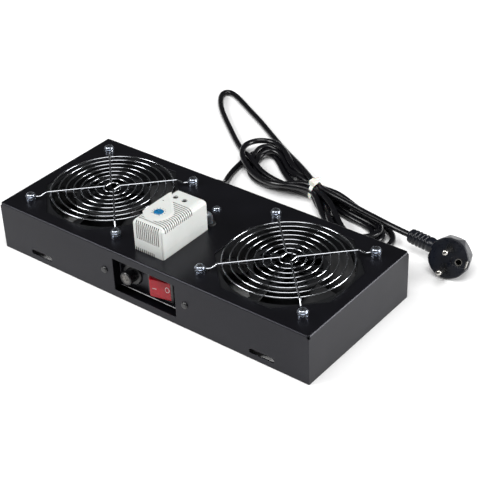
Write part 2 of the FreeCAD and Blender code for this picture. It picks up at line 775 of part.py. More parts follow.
def make_guard(side, across):
    """Rings of bright wire with two V-shaped spoke wires on top, ending in eyelets."""
    rings = []
    wire_level = S.tray_height + S.ring_lift
    for index in range(int(number(S.ring_count))):
        ring = doc.addObject("Part::Torus", "Ring")
        bind(ring, "Radius1", S.ring_inner + S.ring_step * index)
        bind(ring, "Radius2", S.ring_wire)
        move(ring, MIDDLE, MIDDLE, wire_level)
        rings.append(ring)
    corner = number(S.fan_hole_pitch / 2)
    high = number(wire_level + S.ring_wire + S.spoke_wire - 0.25)
    eyelet = 3.4
    eyelet_level = S.tray_height + S.washer + S.spoke_wire
    low = number(eyelet_level)
    foot = corner - eyelet / math.sqrt(2)
    for way in (-1, 1):
        arm = [(foot, foot, low), (46, 46, low), (42, 42, high), (5, 4, high)]
        points = [(way * u, v, level) for u, v, level in arm]
        points += [(way * u, -v, level) for u, v, level in reversed(arm)]
        wire, radii, length = tube(points, number(S.spoke_wire), 2.4)
        spoke = doc.addObject("Part::Feature", "Spoke")
        spoke.Shape = wire
        rings.append(spoke)
        for end in (-1, 1):
            loop = doc.addObject("Part::Torus", "Eyelet")
            loop.Radius1 = eyelet
            bind(loop, "Radius2", S.spoke_wire)
            move(loop, S.fan_hole_pitch / 2 * way, S.fan_hole_pitch / 2 * end, eyelet_level)
            rings.append(loop)
    guard = doc.addObject("Part::MultiFuse", "fan_%s_guard" % side)
    guard.Shapes = rings
    node(guard, "fan_%s_guard" % side)
    move(guard, across)
    doc.recompute()


def make_fan_fasteners(side, across):
    """Flanged pan head screws through guard, washer, plate and fan flange, with hexagon nuts."""
    seat = S.tray_height + S.washer + S.spoke_wire * 2
    axis = S.fan_hole_pitch / 2
    shank = S.screw_hole / 2 - 0.3
    nut_top = PLATE_UNDER - S.fan_flange
    tip = nut_top - 4
    screws = new_body("fan_%s_screws" % side)
    head = [(MIDDLE, seat + 3.3), (shank + 1.9, seat + 3.3), (shank + 2.1, seat + 1.1)]
    head += [(shank + 3, seat + 0.9), (shank + 3, seat), (shank, seat), (shank, tip), (MIDDLE, tip)]
    turned(screws, "XZ_Plane", -axis, axis, head)
    crown = number(seat + 3.3)
    dress(screws, "Fillet", lambda edge: lies_at(edge, "Z", crown), 1.4)
    around(screws, [screws.Group[1], screws.Tip], 4)
    move(screws, across)

    washers = new_body("fan_%s_washers" % side)

    def washer(sketch):
        circle(sketch, axis, axis, S.washer_radius)
        circle(sketch, axis, axis, shank + 0.2)

    disc = pad(washers, "XY_Plane", S.tray_height, S.washer, washer)
    around(washers, [disc], 4)
    move(washers, across)

    nuts = new_body("fan_%s_nuts" % side)

    def nut(sketch):
        polygon(sketch, axis, axis, 3.5, 6)
        circle(sketch, axis, axis, shank + 0.05)

    block = pad(nuts, "XY_Plane", nut_top - 3.2, 3.2, nut)
    around(nuts, [block], 4)
    move(nuts, across)


def make_fan_terminals(side, across, inward):
    """Two blade terminals on the frame, on the side towards the wiring bay."""
    blades = new_body("fan_%s_terminals" % side)

    barrel = number(S.fan_size / 2) - 0.2

    def tab(sketch):
        for v in (24, 30):
            root = math.sqrt(barrel ** 2 - v ** 2) - 0.5
            rectangle(sketch, inward * (S.fan_size / 2 + root) / 2, MIDDLE + v, S.fan_size / 2 - root, MIDDLE + 0.8)

    pad(blades, "XY_Plane", FAN_BOTTOM + S.fan_depth / 2 - 3, 6.3, tab)
    move(blades, across)


def make_fan(side, sign, phase):
    across = S.fan_pitch / 2 * sign
    make_fan_frame(side, across)
    make_fan_inside(side, across)
    make_impeller(side, across, phase)
    make_guard(side, across)
    make_fan_fasteners(side, across)
    make_fan_terminals(side, across, -sign)


# --------------------------------------------------------------------------------------------
# Thermostat
# --------------------------------------------------------------------------------------------


def case_footprint(sketch, inset=0):
    width = S.thermostat_width - inset * 2
    rectangle(sketch, S.thermostat_across, S.thermostat_along, width, S.thermostat_length - inset * 2)


def make_thermostat_base():
    """Shallow tray under the case, with screw bosses and notched vents along its front."""
    body = new_body("thermostat_base")
    wall = S.thermostat_wall
    rise = S.thermostat_base_rise

    def bosses(sketch):
        for spot in THERMOSTAT_SCREWS:
            circle(sketch, S.thermostat_across, spot, 3.5)

    def screw_holes(sketch):
        for spot in THERMOSTAT_SCREWS:
            circle(sketch, S.thermostat_across, spot, SMALL_SCREW - 0.05)

    def notch(sketch):
        left = THERMOSTAT_LEFT + 2.6
        rectangle(sketch, left, THERMOSTAT_FRONT, S.vent_slot, wall * 2 + 1)

    pad(body, "XY_Plane", S.tray_height, rise, case_footprint)
    dress(body, "Fillet", is_upright, 1.8)
    pocket(body, "XY_Plane", S.tray_height + 2, rise, lambda sketch: case_footprint(sketch, wall))
    pad(body, "XY_Plane", S.tray_height + 1, rise - 2, bosses)
    pocket(body, "XY_Plane", S.tray_height - 1, rise, screw_holes)
    first = pocket(body, "XY_Plane", S.tray_height - 1, MIDDLE + 4, notch)
    along(body, [first], "X_Axis", S.end_slot_pitch, 10)


def dial_field(sketch, half_width):
    """A round field about the dial that runs out at half a right angle to the left edge."""
    reach = half_width * math.sqrt(0.5)
    edge = THERMOSTAT_LEFT + 0.3
    far_u, far_v = S.dial_across + reach, S.dial_along + reach
    near_u, near_v = S.dial_across - reach, S.dial_along - reach
    corners = [(far_u, far_v), (edge, far_v + (far_u - edge)), (edge, near_v + (near_u - edge)), (near_u, near_v)]
    spots = [Vector(number(u), number(v), 0) for u, v in corners]
    sides = []
    for here, there in zip(spots, spots[1:]):
        sides.append(sketch.addGeometry(Part.LineSegment(here, there)))
    for side, following in zip(sides, sides[1:]):
        sketch.addConstraint(Sketcher.Constraint("Coincident", side, 2, following, 1))
    for side, (u, v) in zip(sides[1:], corners[1:]):
        pin_point(sketch, side, 1, u, v)
    crown = Vector(number(S.dial_across) + number(reach), number(S.dial_along) - number(reach), 0)
    arc = sketch.addGeometry(Part.Arc(spots[3], crown, spots[0]))
    pin_point(sketch, arc, 3, S.dial_across, S.dial_along)
    index = sketch.addConstraint(Sketcher.Constraint("Radius", arc, number(half_width)))
    bind(sketch, "Constraints[%d]" % index, half_width)
    for side, end, spot, u in ((sides[-1], 2, spots[3], near_u), (sides[0], 1, spots[0], far_u)):
        sketch.addConstraint(Sketcher.Constraint("Coincident", side, end, arc, near_end(sketch, arc, spot)))
        index = sketch.addConstraint(Sketcher.Constraint("DistanceX", -1, 1, side, end, number(u)))
        bind(sketch, "Constraints[%d]" % index, u)


def make_thermostat_cover():
    """Rounded case with vent slots over two edges, terminal funnels and the raised dial field."""
    body = new_body("thermostat_cover")
    wall = S.thermostat_wall
    top = number(THERMOSTAT_TOP)
    left, right = number(THERMOSTAT_LEFT), number(THERMOSTAT_RIGHT)
    front, back = number(THERMOSTAT_FRONT), number(THERMOSTAT_BACK)
    rise = THERMOSTAT_TOP - CASE_FOOT

    def side_slot(sketch):
        middle = (THERMOSTAT_LEFT + THERMOSTAT_RIGHT) / 2 + 4
        rectangle(sketch, middle, THERMOSTAT_FRONT + 5, S.thermostat_width, S.vent_slot)

    def end_slot(sketch):
        rectangle(sketch, THERMOSTAT_LEFT + 4.6, THERMOSTAT_FRONT, S.vent_slot, wall * 2 + 0.8)

    def funnels(sketch):
        for spot in TERMINAL_SPOTS:
            circle(sketch, spot, TERMINAL_ALONG, 2.6)

    pad(body, "XY_Plane", CASE_FOOT, rise, case_footprint)
    dress(body, "Fillet", is_upright, 1.8)
    dress(body, "Fillet", lambda e: lies_at(e, "Z", top) and lies_at(e, "X", right, 2), 5)
    pocket(body, "XY_Plane", CASE_FOOT, rise - wall, lambda sketch: case_footprint(sketch, wall))
    slot = pocket(body, "XY_Plane", CASE_CEILING - 5, wall + 7, side_slot)
    along(body, [slot], "Y_Axis", S.side_slot_pitch, S.side_slot_count)
    grille = pocket(body, "XY_Plane", CASE_FOOT + 5, rise, end_slot)
    along(body, [grille], "X_Axis", S.end_slot_pitch, S.end_slot_count)
    pad(body, "XY_Plane", CASE_CEILING, wall, lambda sketch: dial_field(sketch, S.label_foot))
    foot = new_sketch(body, "XY_Plane", THERMOSTAT_TOP - 0.05)
    dial_field(foot, S.label_foot)
    rim = new_sketch(body, "XY_Plane", THERMOSTAT_TOP + S.label_rise)
    dial_field(rim, S.label_radius)
    field = body.newObject("PartDesign::AdditiveLoft", "DialField")
    field.Profile = foot
    field.Sections = [rim]
    doc.recompute()
    hole = S.dial_radius + 0.3
    pocket(body, "XY_Plane", CASE_CEILING - 1, wall + 4, lambda s: circle(s, S.dial_across, S.dial_along, hole))
    pocket(body, "XY_Plane", CASE_CEILING - 1, wall + 3, funnels)
    latch = THERMOSTAT_LEFT + 4.2
    pocket(body, "XY_Plane", CASE_CEILING - 1, wall + 3, lambda s: circle(s, latch, S.thermostat_along + 5.9, 0.7))


def make_thermostat_inside():
    """Dial, bimetal strip, snap switch and the two terminals with their screws."""
    dial = new_body("thermostat_dial")
    face = THERMOSTAT_TOP + S.label_rise + 0.6
    disc = S.dial_radius
    profile = [(MIDDLE, face), (disc, face), (disc, CASE_CEILING), (disc * 0.4, CASE_CEILING)]
    profile += [(disc * 0.4, CASE_FOOT + 8), (MIDDLE, CASE_FOOT + 8)]
    turned(dial, "XZ_Plane", -S.dial_along, S.dial_across, profile)
    crown = number(face)
    dress(dial, "Chamfer", lambda e: lies_at(e, "Z", crown), 0.5)
    pocket(dial, "XY_Plane", face - 0.8, MIDDLE + 2, lambda s: rectangle(s, S.dial_across, S.dial_along, disc * 1.5, disc * 0.24))

    strip = new_body("thermostat_bimetal")
    pad(strip, "XY_Plane", CASE_FOOT + 6.8, MIDDLE + 0.8, lambda s: rectangle(s, S.dial_across, S.dial_along + 7, disc * 1.4, disc * 5.8))

    switch = new_body("thermostat_switch")
    floor = S.tray_height + 2
    post = S.dial_along + 20
    pad(switch, "XY_Plane", floor, MIDDLE + 1.5, lambda s: rectangle(s, S.dial_across + 4, S.dial_along + 9.5, disc * 4, disc * 5))
    pad(switch, "XY_Plane", floor, MIDDLE + 10, lambda s: rectangle(s, S.dial_across + 8, S.dial_along + 4, disc * 2, disc * 4))
    pad(switch, "XY_Plane", floor, CASE_FOOT + 6.8 - floor, lambda s: rectangle(s, S.dial_across, post, disc * 1.4, disc))

    cages = new_body("thermostat_terminals")

    def cage(sketch):
        for spot in TERMINAL_SPOTS:
            rectangle(sketch, spot, TERMINAL_ALONG, disc * 1.4, disc * 1.4)

    def cage_holes(sketch):
        for spot in TERMINAL_SPOTS:
            circle(sketch, spot, TERMINAL_ALONG, SMALL_SCREW + 0.1)

    pad(cages, "XY_Plane", S.tray_height + 2, CASE_CEILING - 4 - S.tray_height - 2, cage)
    pocket(cages, "XY_Plane", CASE_CEILING - 13, MIDDLE + 10, cage_holes)

    screws = new_body("thermostat_terminal_screws")
    head_top = CASE_CEILING - 1.2

    def heads(sketch):
        for spot in TERMINAL_SPOTS:
            circle(sketch, spot, TERMINAL_ALONG, disc * 0.5)

    def shanks(sketch):
        for spot in TERMINAL_SPOTS:
            circle(sketch, spot, TERMINAL_ALONG, SMALL_SCREW)

    pad(screws, "XY_Plane", head_top - 2.6, MIDDLE + 2.6, heads)
    pad(screws, "XY_Plane", CASE_CEILING - 11, head_top - 2.6 - CASE_CEILING + 11, shanks)

    fixing = new_body("thermostat_fixing_screws")

    def fixing_heads(sketch):
        for spot in THERMOSTAT_SCREWS:
            circle(sketch, S.thermostat_across, spot, S.thermostat_wall * 1.8)

    def fixing_shanks(sketch):
        for spot in THERMOSTAT_SCREWS:
            circle(sketch, S.thermostat_across, spot, SMALL_SCREW - 0.1)

    pad(fixing, "XY_Plane", PLATE_UNDER - 2, MIDDLE + 2, fixing_heads)
    pad(fixing, "XY_Plane", PLATE_UNDER - 1, MIDDLE + 7, fixing_shanks)


def make_thermostat_cable():
    """Sheathed cable from the back of the thermostat down through a grommet in the plate."""
    grommet = new_body("wire_grommet")
    bore = S.cord_radius * 0.95
    flange = GROMMET_NECK + 1
    top = S.tray_height + 1
    foot = PLATE_UNDER - 1.6
    profile = [(bore, foot), (flange, foot), (flange, PLATE_UNDER), (GROMMET_NECK, PLATE_UNDER)]
    profile += [(GROMMET_NECK, S.tray_height), (flange, S.tray_height), (flange - 0.4, top), (bore, top)]
    turned(grommet, "XZ_Plane", -GROMMET_ALONG, GROMMET_ACROSS, profile)

    across, back, down = number(GROMMET_ACROSS), number(THERMOSTAT_BACK), number(GROMMET_ALONG)
    level = number(CASE_FOOT) + 4.6
    points = [(across, back, level), (across, down, level), (across, down, level - 20)]
    cable, radii, length = tube(points, number(bore) - 0.02, 6)
    shape_node("thermostat_cable", cable)


# --------------------------------------------------------------------------------------------
# Switch, fuse holder and terminal block
# --------------------------------------------------------------------------------------------


def make_switch():
    """Snap-in rocker switch: bezel and housing in one, the rocker and four blade terminals."""
    body = new_body("switch_body")
    radius = S.rocker_radius
    rear = PANEL_FACE + 16.5
    panel = -PANEL_FACE
    width = radius * 2 + 1.7
    cavity = radius + 0.3
    level = S.rocker_level
    across = S.rocker_across

    pad(body, "XZ_Plane", panel, S.bezel_lift, lambda s: rectangle(s, across, level, S.bezel_width, S.bezel_rise))
    front = number(PANEL_FACE - S.bezel_lift)
    dress(body, "Fillet", lambda e: span(e).YLength > 1 and e.Length < 3, 2)
    dress(body, "Chamfer", lambda e: lies_at(e, "Y", front), 0.6)
    pad(body, "XZ_Plane", -rear, rear - PANEL_FACE, lambda s: rectangle(s, across, level, width, S.rocker_rise + 2))
    half = S.rocker_rise / 2
    pocket(body, "XY_Plane", level - half - 0.3, S.rocker_rise + 0.6, lambda s: circle(s, across, PIVOT_ALONG, cavity))
    pocket(body, "XY_Plane", level - half - 1.5, S.rocker_rise + 3, lambda s: circle(s, across, PIVOT_ALONG, 1.45))

    rocker = new_body("switch_rocker")
    pad(rocker, "XY_Plane", level - half, S.rocker_rise, lambda s: circle(s, MIDDLE, MIDDLE, radius))
    face = -S.rocker_face
    pocket(rocker, "XY_Plane", level - half - 1, S.rocker_rise + 2, lambda s: rectangle(s, MIDDLE, face - 10, radius * 3, MIDDLE + 20))
    pocket(rocker, "XY_Plane", level - half - 1, S.rocker_rise + 2, lambda s: rectangle(s, MIDDLE, MIDDLE + 11.5, radius * 3, MIDDLE + 20))
    dress(rocker, "Fillet", lambda e: is_upright(e) and span(e).YMax < number(face) + 0.1, 1.4)
    dress(rocker, "Fillet", lambda e: lies_at(e, "Y", number(face)), 0.6)
    pad(rocker, "XY_Plane", level - half - 0.6, S.rocker_rise + 1.2, lambda s: circle(s, MIDDLE, MIDDLE, 1.4))
    rocker.Placement = Placement(Vector(0, 0, 0), Rotation(Vector(0, 0, 1), number(S.rocker_tilt)))
    bind(rocker, "Placement.Rotation.Angle", S.rocker_tilt)
    move(rocker, across, PIVOT_ALONG)

    blades = new_body("switch_terminals")

    def tabs(sketch):
        for u in (-6.5, 6.5):
            for v in (-5, 5):
                rectangle(sketch, across + u, level + v, MIDDLE + 6.3, MIDDLE + 0.8)

    pad(blades, "XZ_Plane", -rear - 9, MIDDLE + 9, tabs)


def make_fuse_holder():
    """Panel fuse holder with a bayonet cap that draws the fuse out with it."""
    across, level = S.fuse_across, S.fuse_level
    holder = new_body("fuse_holder_body")
    lip = PANEL_FACE - 1.9
    step = lip + 8.6
    end = PANEL_FACE + 27
    wide = S.cap_radius + 0.3
    narrow = wide - 1.6
    flange, barrel = S.fuse_flange, S.fuse_barrel
    profile = [(wide, lip), (flange - 0.8, lip), (flange, lip + 0.8), (flange, PANEL_FACE)]
    profile += [(barrel, PANEL_FACE), (barrel, end + 1.5), (MIDDLE, end + 1.5), (MIDDLE, end)]
    profile += [(narrow, end), (narrow, step), (wide, step)]
    turned(holder, "XY_Plane", level, across, profile)

    nut = new_body("fuse_holder_nut")

    def ring(sketch):
        polygon(sketch, across, level, flange - 0.6, 6)
        circle(sketch, across, level, barrel + 0.03)

    pad(nut, "XZ_Plane", -PANEL_REAR - 3, MIDDLE + 3, ring)

    cap = new_body("fuse_cap")
    outer = FRONT - 0.2
    radius = S.cap_radius
    inner = step - 0.8
    stub = radius * 0.48
    profile = [(MIDDLE, outer + 1), (radius - 1.5, outer + 1), (radius - 1.5, outer)]
    profile += [(radius - 0.6, outer), (radius, outer + 0.6), (radius, inner), (stub + 0.05, inner)]
    profile += [(stub + 0.05, inner - 4), (MIDDLE, inner - 4)]
    turned(cap, "XY_Plane", level, across, profile)

    lens = new_body("fuse_cap_insert")
    window = radius - 1.55
    profile = [(MIDDLE, outer + 0.2), (window, outer + 0.2), (window, outer + 1), (MIDDLE, outer + 1)]
    turned(lens, "XY_Plane", level, across, profile)
    pocket(lens, "XZ_Plane", -outer - 0.7, MIDDLE + 2, lambda s: rectangle(s, across, level, window * 1.5, MIDDLE + 1.1))

    carrier = new_body("fuse_carrier")
    sleeve = narrow - 0.4
    fuse = sleeve - 1.85
    head = inner + 0.3
    profile = [(MIDDLE, inner - 3.8), (stub, inner - 3.8), (stub, head), (sleeve, head), (sleeve, end - 1)]
    profile += [(fuse + 0.05, end - 1), (fuse + 0.05, head + 1), (MIDDLE, head + 1)]
    turned(carrier, "XY_Plane", level, across, profile)

    tube_body = new_body("fuse_glass")
    start = head + 1.2
    cap_length = 5
    length = end - 1 - start - 0.2
    rear = start + length
    pad(tube_body, "XZ_Plane", -(rear - cap_length), length - cap_length * 2, lambda s: circle(s, across, level, fuse - 0.15))
    ends = new_body("fuse_end_caps")
    pad(ends, "XZ_Plane", -(start + cap_length), MIDDLE + cap_length, lambda s: circle(s, across, level, fuse))
    pad(ends, "XZ_Plane", -rear, MIDDLE + cap_length, lambda s: circle(s, across, level, fuse))

    tabs = new_body("fuse_terminals")
    pad(tabs, "XZ_Plane", -end - 9.5, MIDDLE + 8, lambda s: rectangle(s, across, level, MIDDLE + 6.3, MIDDLE + 0.8))
    pad(tabs, "XY_Plane", level + barrel - 1, MIDDLE + 8, lambda s: rectangle(s, across, end - 8, MIDDLE + 6.3, MIDDLE + 0.8))


def make_terminal_block():
    """Nylon terminal block under the plate, with its screw from above and a nut below."""
    block = new_body("terminal_block")
    across, depth = S.block_across, S.block_along
    foot = PLATE_UNDER - 14

    def footprint(sketch):
        rectangle(sketch, across, depth, MIDDLE + 32, MIDDLE + 17)

    def screw_hole(sketch):
        circle(sketch, across, depth, SMALL_SCREW + 0.1)

    def wire_holes(sketch):
        for u in (-11, 11):
            circle(sketch, across + u, foot + 5, 2.2)

    def driver_holes(sketch):
        for u in (-11, 11):
            for v in (-4.5, 4.5):
                circle(sketch, across + u, depth + v, 2)

    pad(block, "XY_Plane", foot, MIDDLE + 14, footprint)
    dress(block, "Fillet", is_upright, 1.2)
    pocket(block, "XY_Plane", foot - 1, MIDDLE + 16, screw_hole)
    pocket(block, "XZ_Plane", -depth - 9, MIDDLE + 18, wire_holes)
    pocket(block, "XY_Plane", foot - 1, MIDDLE + 6, driver_holes)

    screw = new_body("terminal_screw")
    shank = SMALL_SCREW
    seat = S.tray_height + 0.7
    crown = seat + 2
    profile = [(MIDDLE, crown), (shank * 2, crown), (shank * 2, seat), (shank, seat)]
    profile += [(shank, foot - 4), (MIDDLE, foot - 4)]
    turned(screw, "XZ_Plane", -depth, across, profile)
    top = number(crown)
    dress(screw, "Fillet", lambda e: lies_at(e, "Z", top), 1.1)

    washer = new_body("terminal_lock_washer")
    rim = SMALL_SCREW * 3

    def ring(sketch):
        circle(sketch, MIDDLE, MIDDLE, rim)
        circle(sketch, MIDDLE, MIDDLE, shank + 0.1)

    def gap(sketch):
        rectangle(sketch, rim, MIDDLE, SMALL_SCREW * 1.4, SMALL_SCREW * 0.8)

    pad(washer, "XY_Plane", S.tray_height, seat - S.tray_height, ring)
    tooth = pocket(washer, "XY_Plane", S.tray_height - 1, MIDDLE + 3, gap)
    around(washer, [tooth], 10)
    move(washer, across, depth)

    nut = new_body("terminal_nut")

    def hexagon(sketch):
        polygon(sketch, across, depth, 2.75, 6)
        circle(sketch, across, depth, shank + 0.03)

    pad(nut, "XY_Plane", foot - 2.4, MIDDLE + 2.4, hexagon)


# --------------------------------------------------------------------------------------------
# Mains cord
# --------------------------------------------------------------------------------------------

CORD_REST = number(S.cord_radius) + 0.2
GLAND_END = BACK + S.gland_sleeve
TIE_ACROSS = 15
TIE_ALONG = 158
LEAD = [
    (number(S.gland_across), number(GLAND_END), number(S.gland_level)),
    (-63.3, 102.5, 20.9),
    (-64.4, 110, 17.6),
    (-66.2, 116, 12.5),
    (-68.7, 121.8, 7.4),
    (-72.2, 128.3, 4.1),
    (-76, 135.6, CORD_REST),
    (-79, 145, CORD_REST),
    (-81.2, 155, CORD_REST),
    (-82.5, 165.5, CORD_REST),
    (-82.4, 176, CORD_REST),
]
BIG_LOOP = [
    (8, 163, 12),
    (-10, 177, 11),
    (-30, 191, 9),
    (-52, 205, 7),
    (-75, 219, 5),
    (-99, 235, CORD_REST),
    (-128, 253, CORD_REST),
    (-155, 268.5, CORD_REST),
    (-176, 279.5, CORD_REST),
    (-189, 282, CORD_REST),
    (-194.5, 273, CORD_REST),
    (-187, 261.5, CORD_REST),
    (-172, 247, CORD_REST),
    (-147, 226.5, CORD_REST),
    (-123, 208, CORD_REST),
    (-104, 194, 4.5),
    (-88, 180, 9),
    (-72, 166.5, 9.1),
    (-56, 154.5, 8),
    (-40, 147.5, 7),
    (-24, 146, 7),
    (-8, 149, 7.6),
    (8, 152, 8),
]
PLUG_LEAD = [
    (22, 157, 15.6),
    (36, 154.4, 15.8),
    (55, 150, 15.4),
    (76, 145.6, 15.2),
    (98, 141, 16.2),
    (117.5, 136.2, 17.1),
    (135.4, 135.4, 16.1),
]


def make_gland():
    """Moulded strain relief through the back wall, with a sleeve that tapers along the cord."""
    gland = new_body("cord_gland")
    radius = S.cord_radius
    outer = BACK + 2.8
    inner = BACK_INSIDE - 6
    neck = GLAND_NECK
    profile = [(radius, inner), (neck + 0.6, inner), (neck + 1.4, BACK_INSIDE), (neck, BACK_INSIDE)]
    profile += [(neck, BACK), (neck + 2, BACK), (neck + 1.4, outer), (radius + 2.6, outer)]
    profile += [(radius + 1.3, GLAND_END), (radius, GLAND_END)]
    turned(gland, "XY_Plane", S.gland_level, S.gland_across, profile)


def make_cord():
    """Plain cord solids: three free stretches, the tied hank and its tie."""
    radius = number(S.cord_radius)
    for label, points in (("cord_lead", LEAD), ("cord_big_loop", BIG_LOOP), ("cord_plug_lead", PLUG_LEAD)):
        solid, radii, length = tube(points, radius)
        shape_node(label, solid)
        print("%s: %.0f mm long, bend radii %s" % (label, length, " ".join("%.0f" % r for r in radii)))

    hank = new_body("cord_hank")

    def left_leaf(sketch):
        far = [(10, 165), (-4, 174), (-58, 209), (-84, 215), (-101, 216), (-107, 207)]
        near = [(-101, 192), (-84, 173), (-62, 157), (-36, 151), (-4, 149), (10, 151)]
        outline(sketch, far + near)

    def right_leaf(sketch):
        near = [(20, 151), (36, 138), (58, 122), (82, 105), (104, 100), (120, 108)]
        far = [(124, 122), (116, 137), (100, 147), (74, 152), (32, 160), (20, 165)]
        outline(sketch, near + far)

    thickness = S.cord_radius * 4
    pad(hank, "XY_Plane", MIDDLE + 0.2, thickness, left_leaf)
    pad(hank, "XY_Plane", MIDDLE + 0.2, thickness, right_leaf)
    hold = S.tie_radius - 0.1
    level = S.tie_radius + S.tie_thickness + 0.2
    pad(hank, "YZ_Plane", MIDDLE + TIE_ACROSS - 7, MIDDLE + 14, lambda s: circle(s, TIE_ALONG, level, hold))

    tie = new_body("cable_tie")
    outer = S.tie_radius + S.tie_thickness
    half = S.tie_width / 2

    def band(sketch):
        circle(sketch, TIE_ALONG, level, outer)
        circle(sketch, TIE_ALONG, level, S.tie_radius)

    def head(sketch):
        rectangle(sketch, MIDDLE + TIE_ALONG - 3, level + outer + 0.9, MIDDLE + 6.5, MIDDLE + 4)

    pad(tie, "YZ_Plane", MIDDLE + TIE_ACROSS - half, S.tie_width, band)
    pad(tie, "YZ_Plane", MIDDLE + TIE_ACROSS - half - 1.2, S.tie_width + 2.4, head)


# --------------------------------------------------------------------------------------------
# Plug
# --------------------------------------------------------------------------------------------


def set_on_plug(body):
    """Lays a piece of the plug where the plug lies: face to the viewer, resting on its rim."""
    turn = Rotation(Vector(0, 0, 1), number(S.plug_turn))
    lean = Rotation(Vector(1, 0, 0), number(S.plug_lean))
    roll = Rotation(Vector(0, 0, 1), -number(S.plug_roll))
    body.Placement = Placement(Vector(0, 0, 0), turn.multiply(lean).multiply(roll))
    move(body, S.plug_across, S.plug_along, S.plug_level)


def make_plug():
    """Moulded mains plug with two round pins, an earth socket and two side earth strips."""
    radius = S.plug_radius
    depth = S.plug_depth
    body = doc.addObject("PartDesign::Body", "PlugMoulding")
    wall_end = -S.plug_rim
    profile = [(MIDDLE, MIDDLE), (radius - 0.8, MIDDLE), (radius, MIDDLE - 1), (radius, wall_end)]
    profile += [(S.plug_back, -depth + 1.5), (S.plug_back - 1.5, -depth), (MIDDLE, -depth)]
    turned(body, "XZ_Plane", MIDDLE, MIDDLE, profile)

    def flat(sketch):
        skin = radius + 0.1
        inmost = radius - S.plug_flat
        outline(sketch, [(skin, MIDDLE - 1), (inmost, wall_end), (inmost, -depth), (radius * 2, -depth), (radius * 2, MIDDLE - 1)])

    side = pocket(body, "XZ_Plane", -radius, radius * 2, flat)
    around(body, [side], 8)
    tilt = Rotation(Vector(0, 1, 0), -90 - number(S.relief_tilt))
    slope = math.radians(number(S.relief_tilt))

    def relief_sketch(reach):
        sketch = new_sketch(body, "XY_Plane")
        aside = -number(reach) * math.cos(slope)
        behind = -number(S.relief_depth) - number(reach) * math.sin(slope)
        sketch.AttachmentOffset = Placement(Vector(aside, 0, behind), tilt)
        bind(sketch, "AttachmentOffset.Base.z", behind)
        return sketch

    sketch = relief_sketch(0)
    circle(sketch, MIDDLE, MIDDLE, S.relief_radius)
    relief = body.newObject("PartDesign::Pad", "Relief")
    relief.Profile = sketch
    relief.TaperAngle = -number(S.relief_taper)
    bind(relief, "Length", S.relief_reach)
    doc.recompute()
    for step in range(5):
        sketch = relief_sketch(S.relief_reach - 5 - step * 4)
        circle(sketch, MIDDLE, MIDDLE, S.relief_radius * 2)
        circle(sketch, MIDDLE, MIDDLE, S.relief_radius - 2.2 + step * 0.15)
        groove = body.newObject("PartDesign::Pocket", "Groove")
        groove.Profile = sketch
        groove.Length = 1.3
        doc.recompute()
    socket = S.plug_pin_radius + 0.9
    earth = S.earth_reach
    hollow = S.plug_pin_radius * 1.75
    shallow = -0.8
    pocket(body, "XY_Plane", -depth + 8, depth, lambda s: circle(s, earth, MIDDLE, socket))
    pocket(body, "XY_Plane", MIDDLE + shallow, MIDDLE + 3, lambda s: rectangle(s, earth, MIDDLE, hollow * 1.5, hollow * 2))

    def pin_recesses(sketch):
        for side in (-1, 1):
            circle(sketch, MIDDLE, side * S.plug_pin_pitch / 2, hollow)

    for end in (-1, 1):
        pocket(body, "XY_Plane", MIDDLE + shallow, MIDDLE + 3, lambda s: circle(s, earth + hollow * 0.75 * end, MIDDLE, hollow))
    pocket(body, "XY_Plane", MIDDLE + shallow, MIDDLE + 3, pin_recesses)

    def strip_slots(sketch):
        for side in (-1, 1):
            rectangle(sketch, side * (radius - 1), MIDDLE, MIDDLE + 2.4, S.plug_pin_radius * 3 + 0.4)

    strip_foot = MIDDLE - 7
    pocket(body, "XY_Plane", strip_foot, MIDDLE + 8, strip_slots)
    set_on_plug(body)

    ground = doc.addObject("Part::Box", "Ground")
    for prop in ("Length", "Width", "Height"):
        bind(ground, prop, radius * 6)
    move(ground, S.plug_across - radius * 3, S.plug_along - radius * 3, MIDDLE + 0.1 - radius * 6)
    resting = doc.addObject("Part::Cut", "plug_body")
    resting.Base = body
    resting.Tool = ground
    node(resting, "plug_body")
    doc.recompute()

    pins = new_body("plug_pins")

    def pin_pair(sketch):
        for side in (-1, 1):
            circle(sketch, MIDDLE, side * S.plug_pin_pitch / 2, S.plug_pin_radius)

    pad(pins, "XY_Plane", MIDDLE + shallow, S.plug_pin_length - shallow, pin_pair)
    tip = number(S.plug_pin_length)
    dress(pins, "Fillet", lambda e: lies_at(e, "Z", tip), 1.6)
    set_on_plug(pins)

    contacts = new_body("plug_earth_contacts")

    def sleeve(sketch):
        circle(sketch, earth, MIDDLE, socket)
        circle(sketch, earth, MIDDLE, S.plug_pin_radius + 0.1)

    def strips(sketch):
        for side in (-1, 1):
            rectangle(sketch, side * (radius - 1.7), MIDDLE, MIDDLE + 1, S.plug_pin_radius * 3)

    pad(contacts, "XY_Plane", -depth + 8, depth - 8 + shallow + 0.4, sleeve)
    pad(contacts, "XY_Plane", strip_foot, -strip_foot, strips)
    set_on_plug(contacts)


# --------------------------------------------------------------------------------------------
# Checks and files
# --------------------------------------------------------------------------------------------


def check_and_write():
    doc.recompute()
    for piece in doc.Objects:
        if "Invalid" in piece.State or "Error" in piece.State:
            raise RuntimeError("%s (%s) failed: %s" % (piece.Name, piece.Label, piece.State))
    os.makedirs("parts", exist_ok=True)
    for piece in PARTS:
        if piece.Shape.isNull() or not piece.Shape.isValid() or not piece.Shape.Solids:
            raise RuntimeError("%s has no valid solid" % piece.Label)
        piece.Shape.exportStep("parts/%s.step" % piece.Label)
        box = piece.Shape.BoundBox
        print("%-28s %2d solids %9.0f mm3  x %7.1f %7.1f  y %7.1f %7.1f  z %6.1f %6.1f" % (
            piece.Label, len(piece.Shape.Solids), piece.Shape.Volume,
            box.XMin, box.XMax, box.YMin, box.YMax, box.ZMin, box.ZMax))


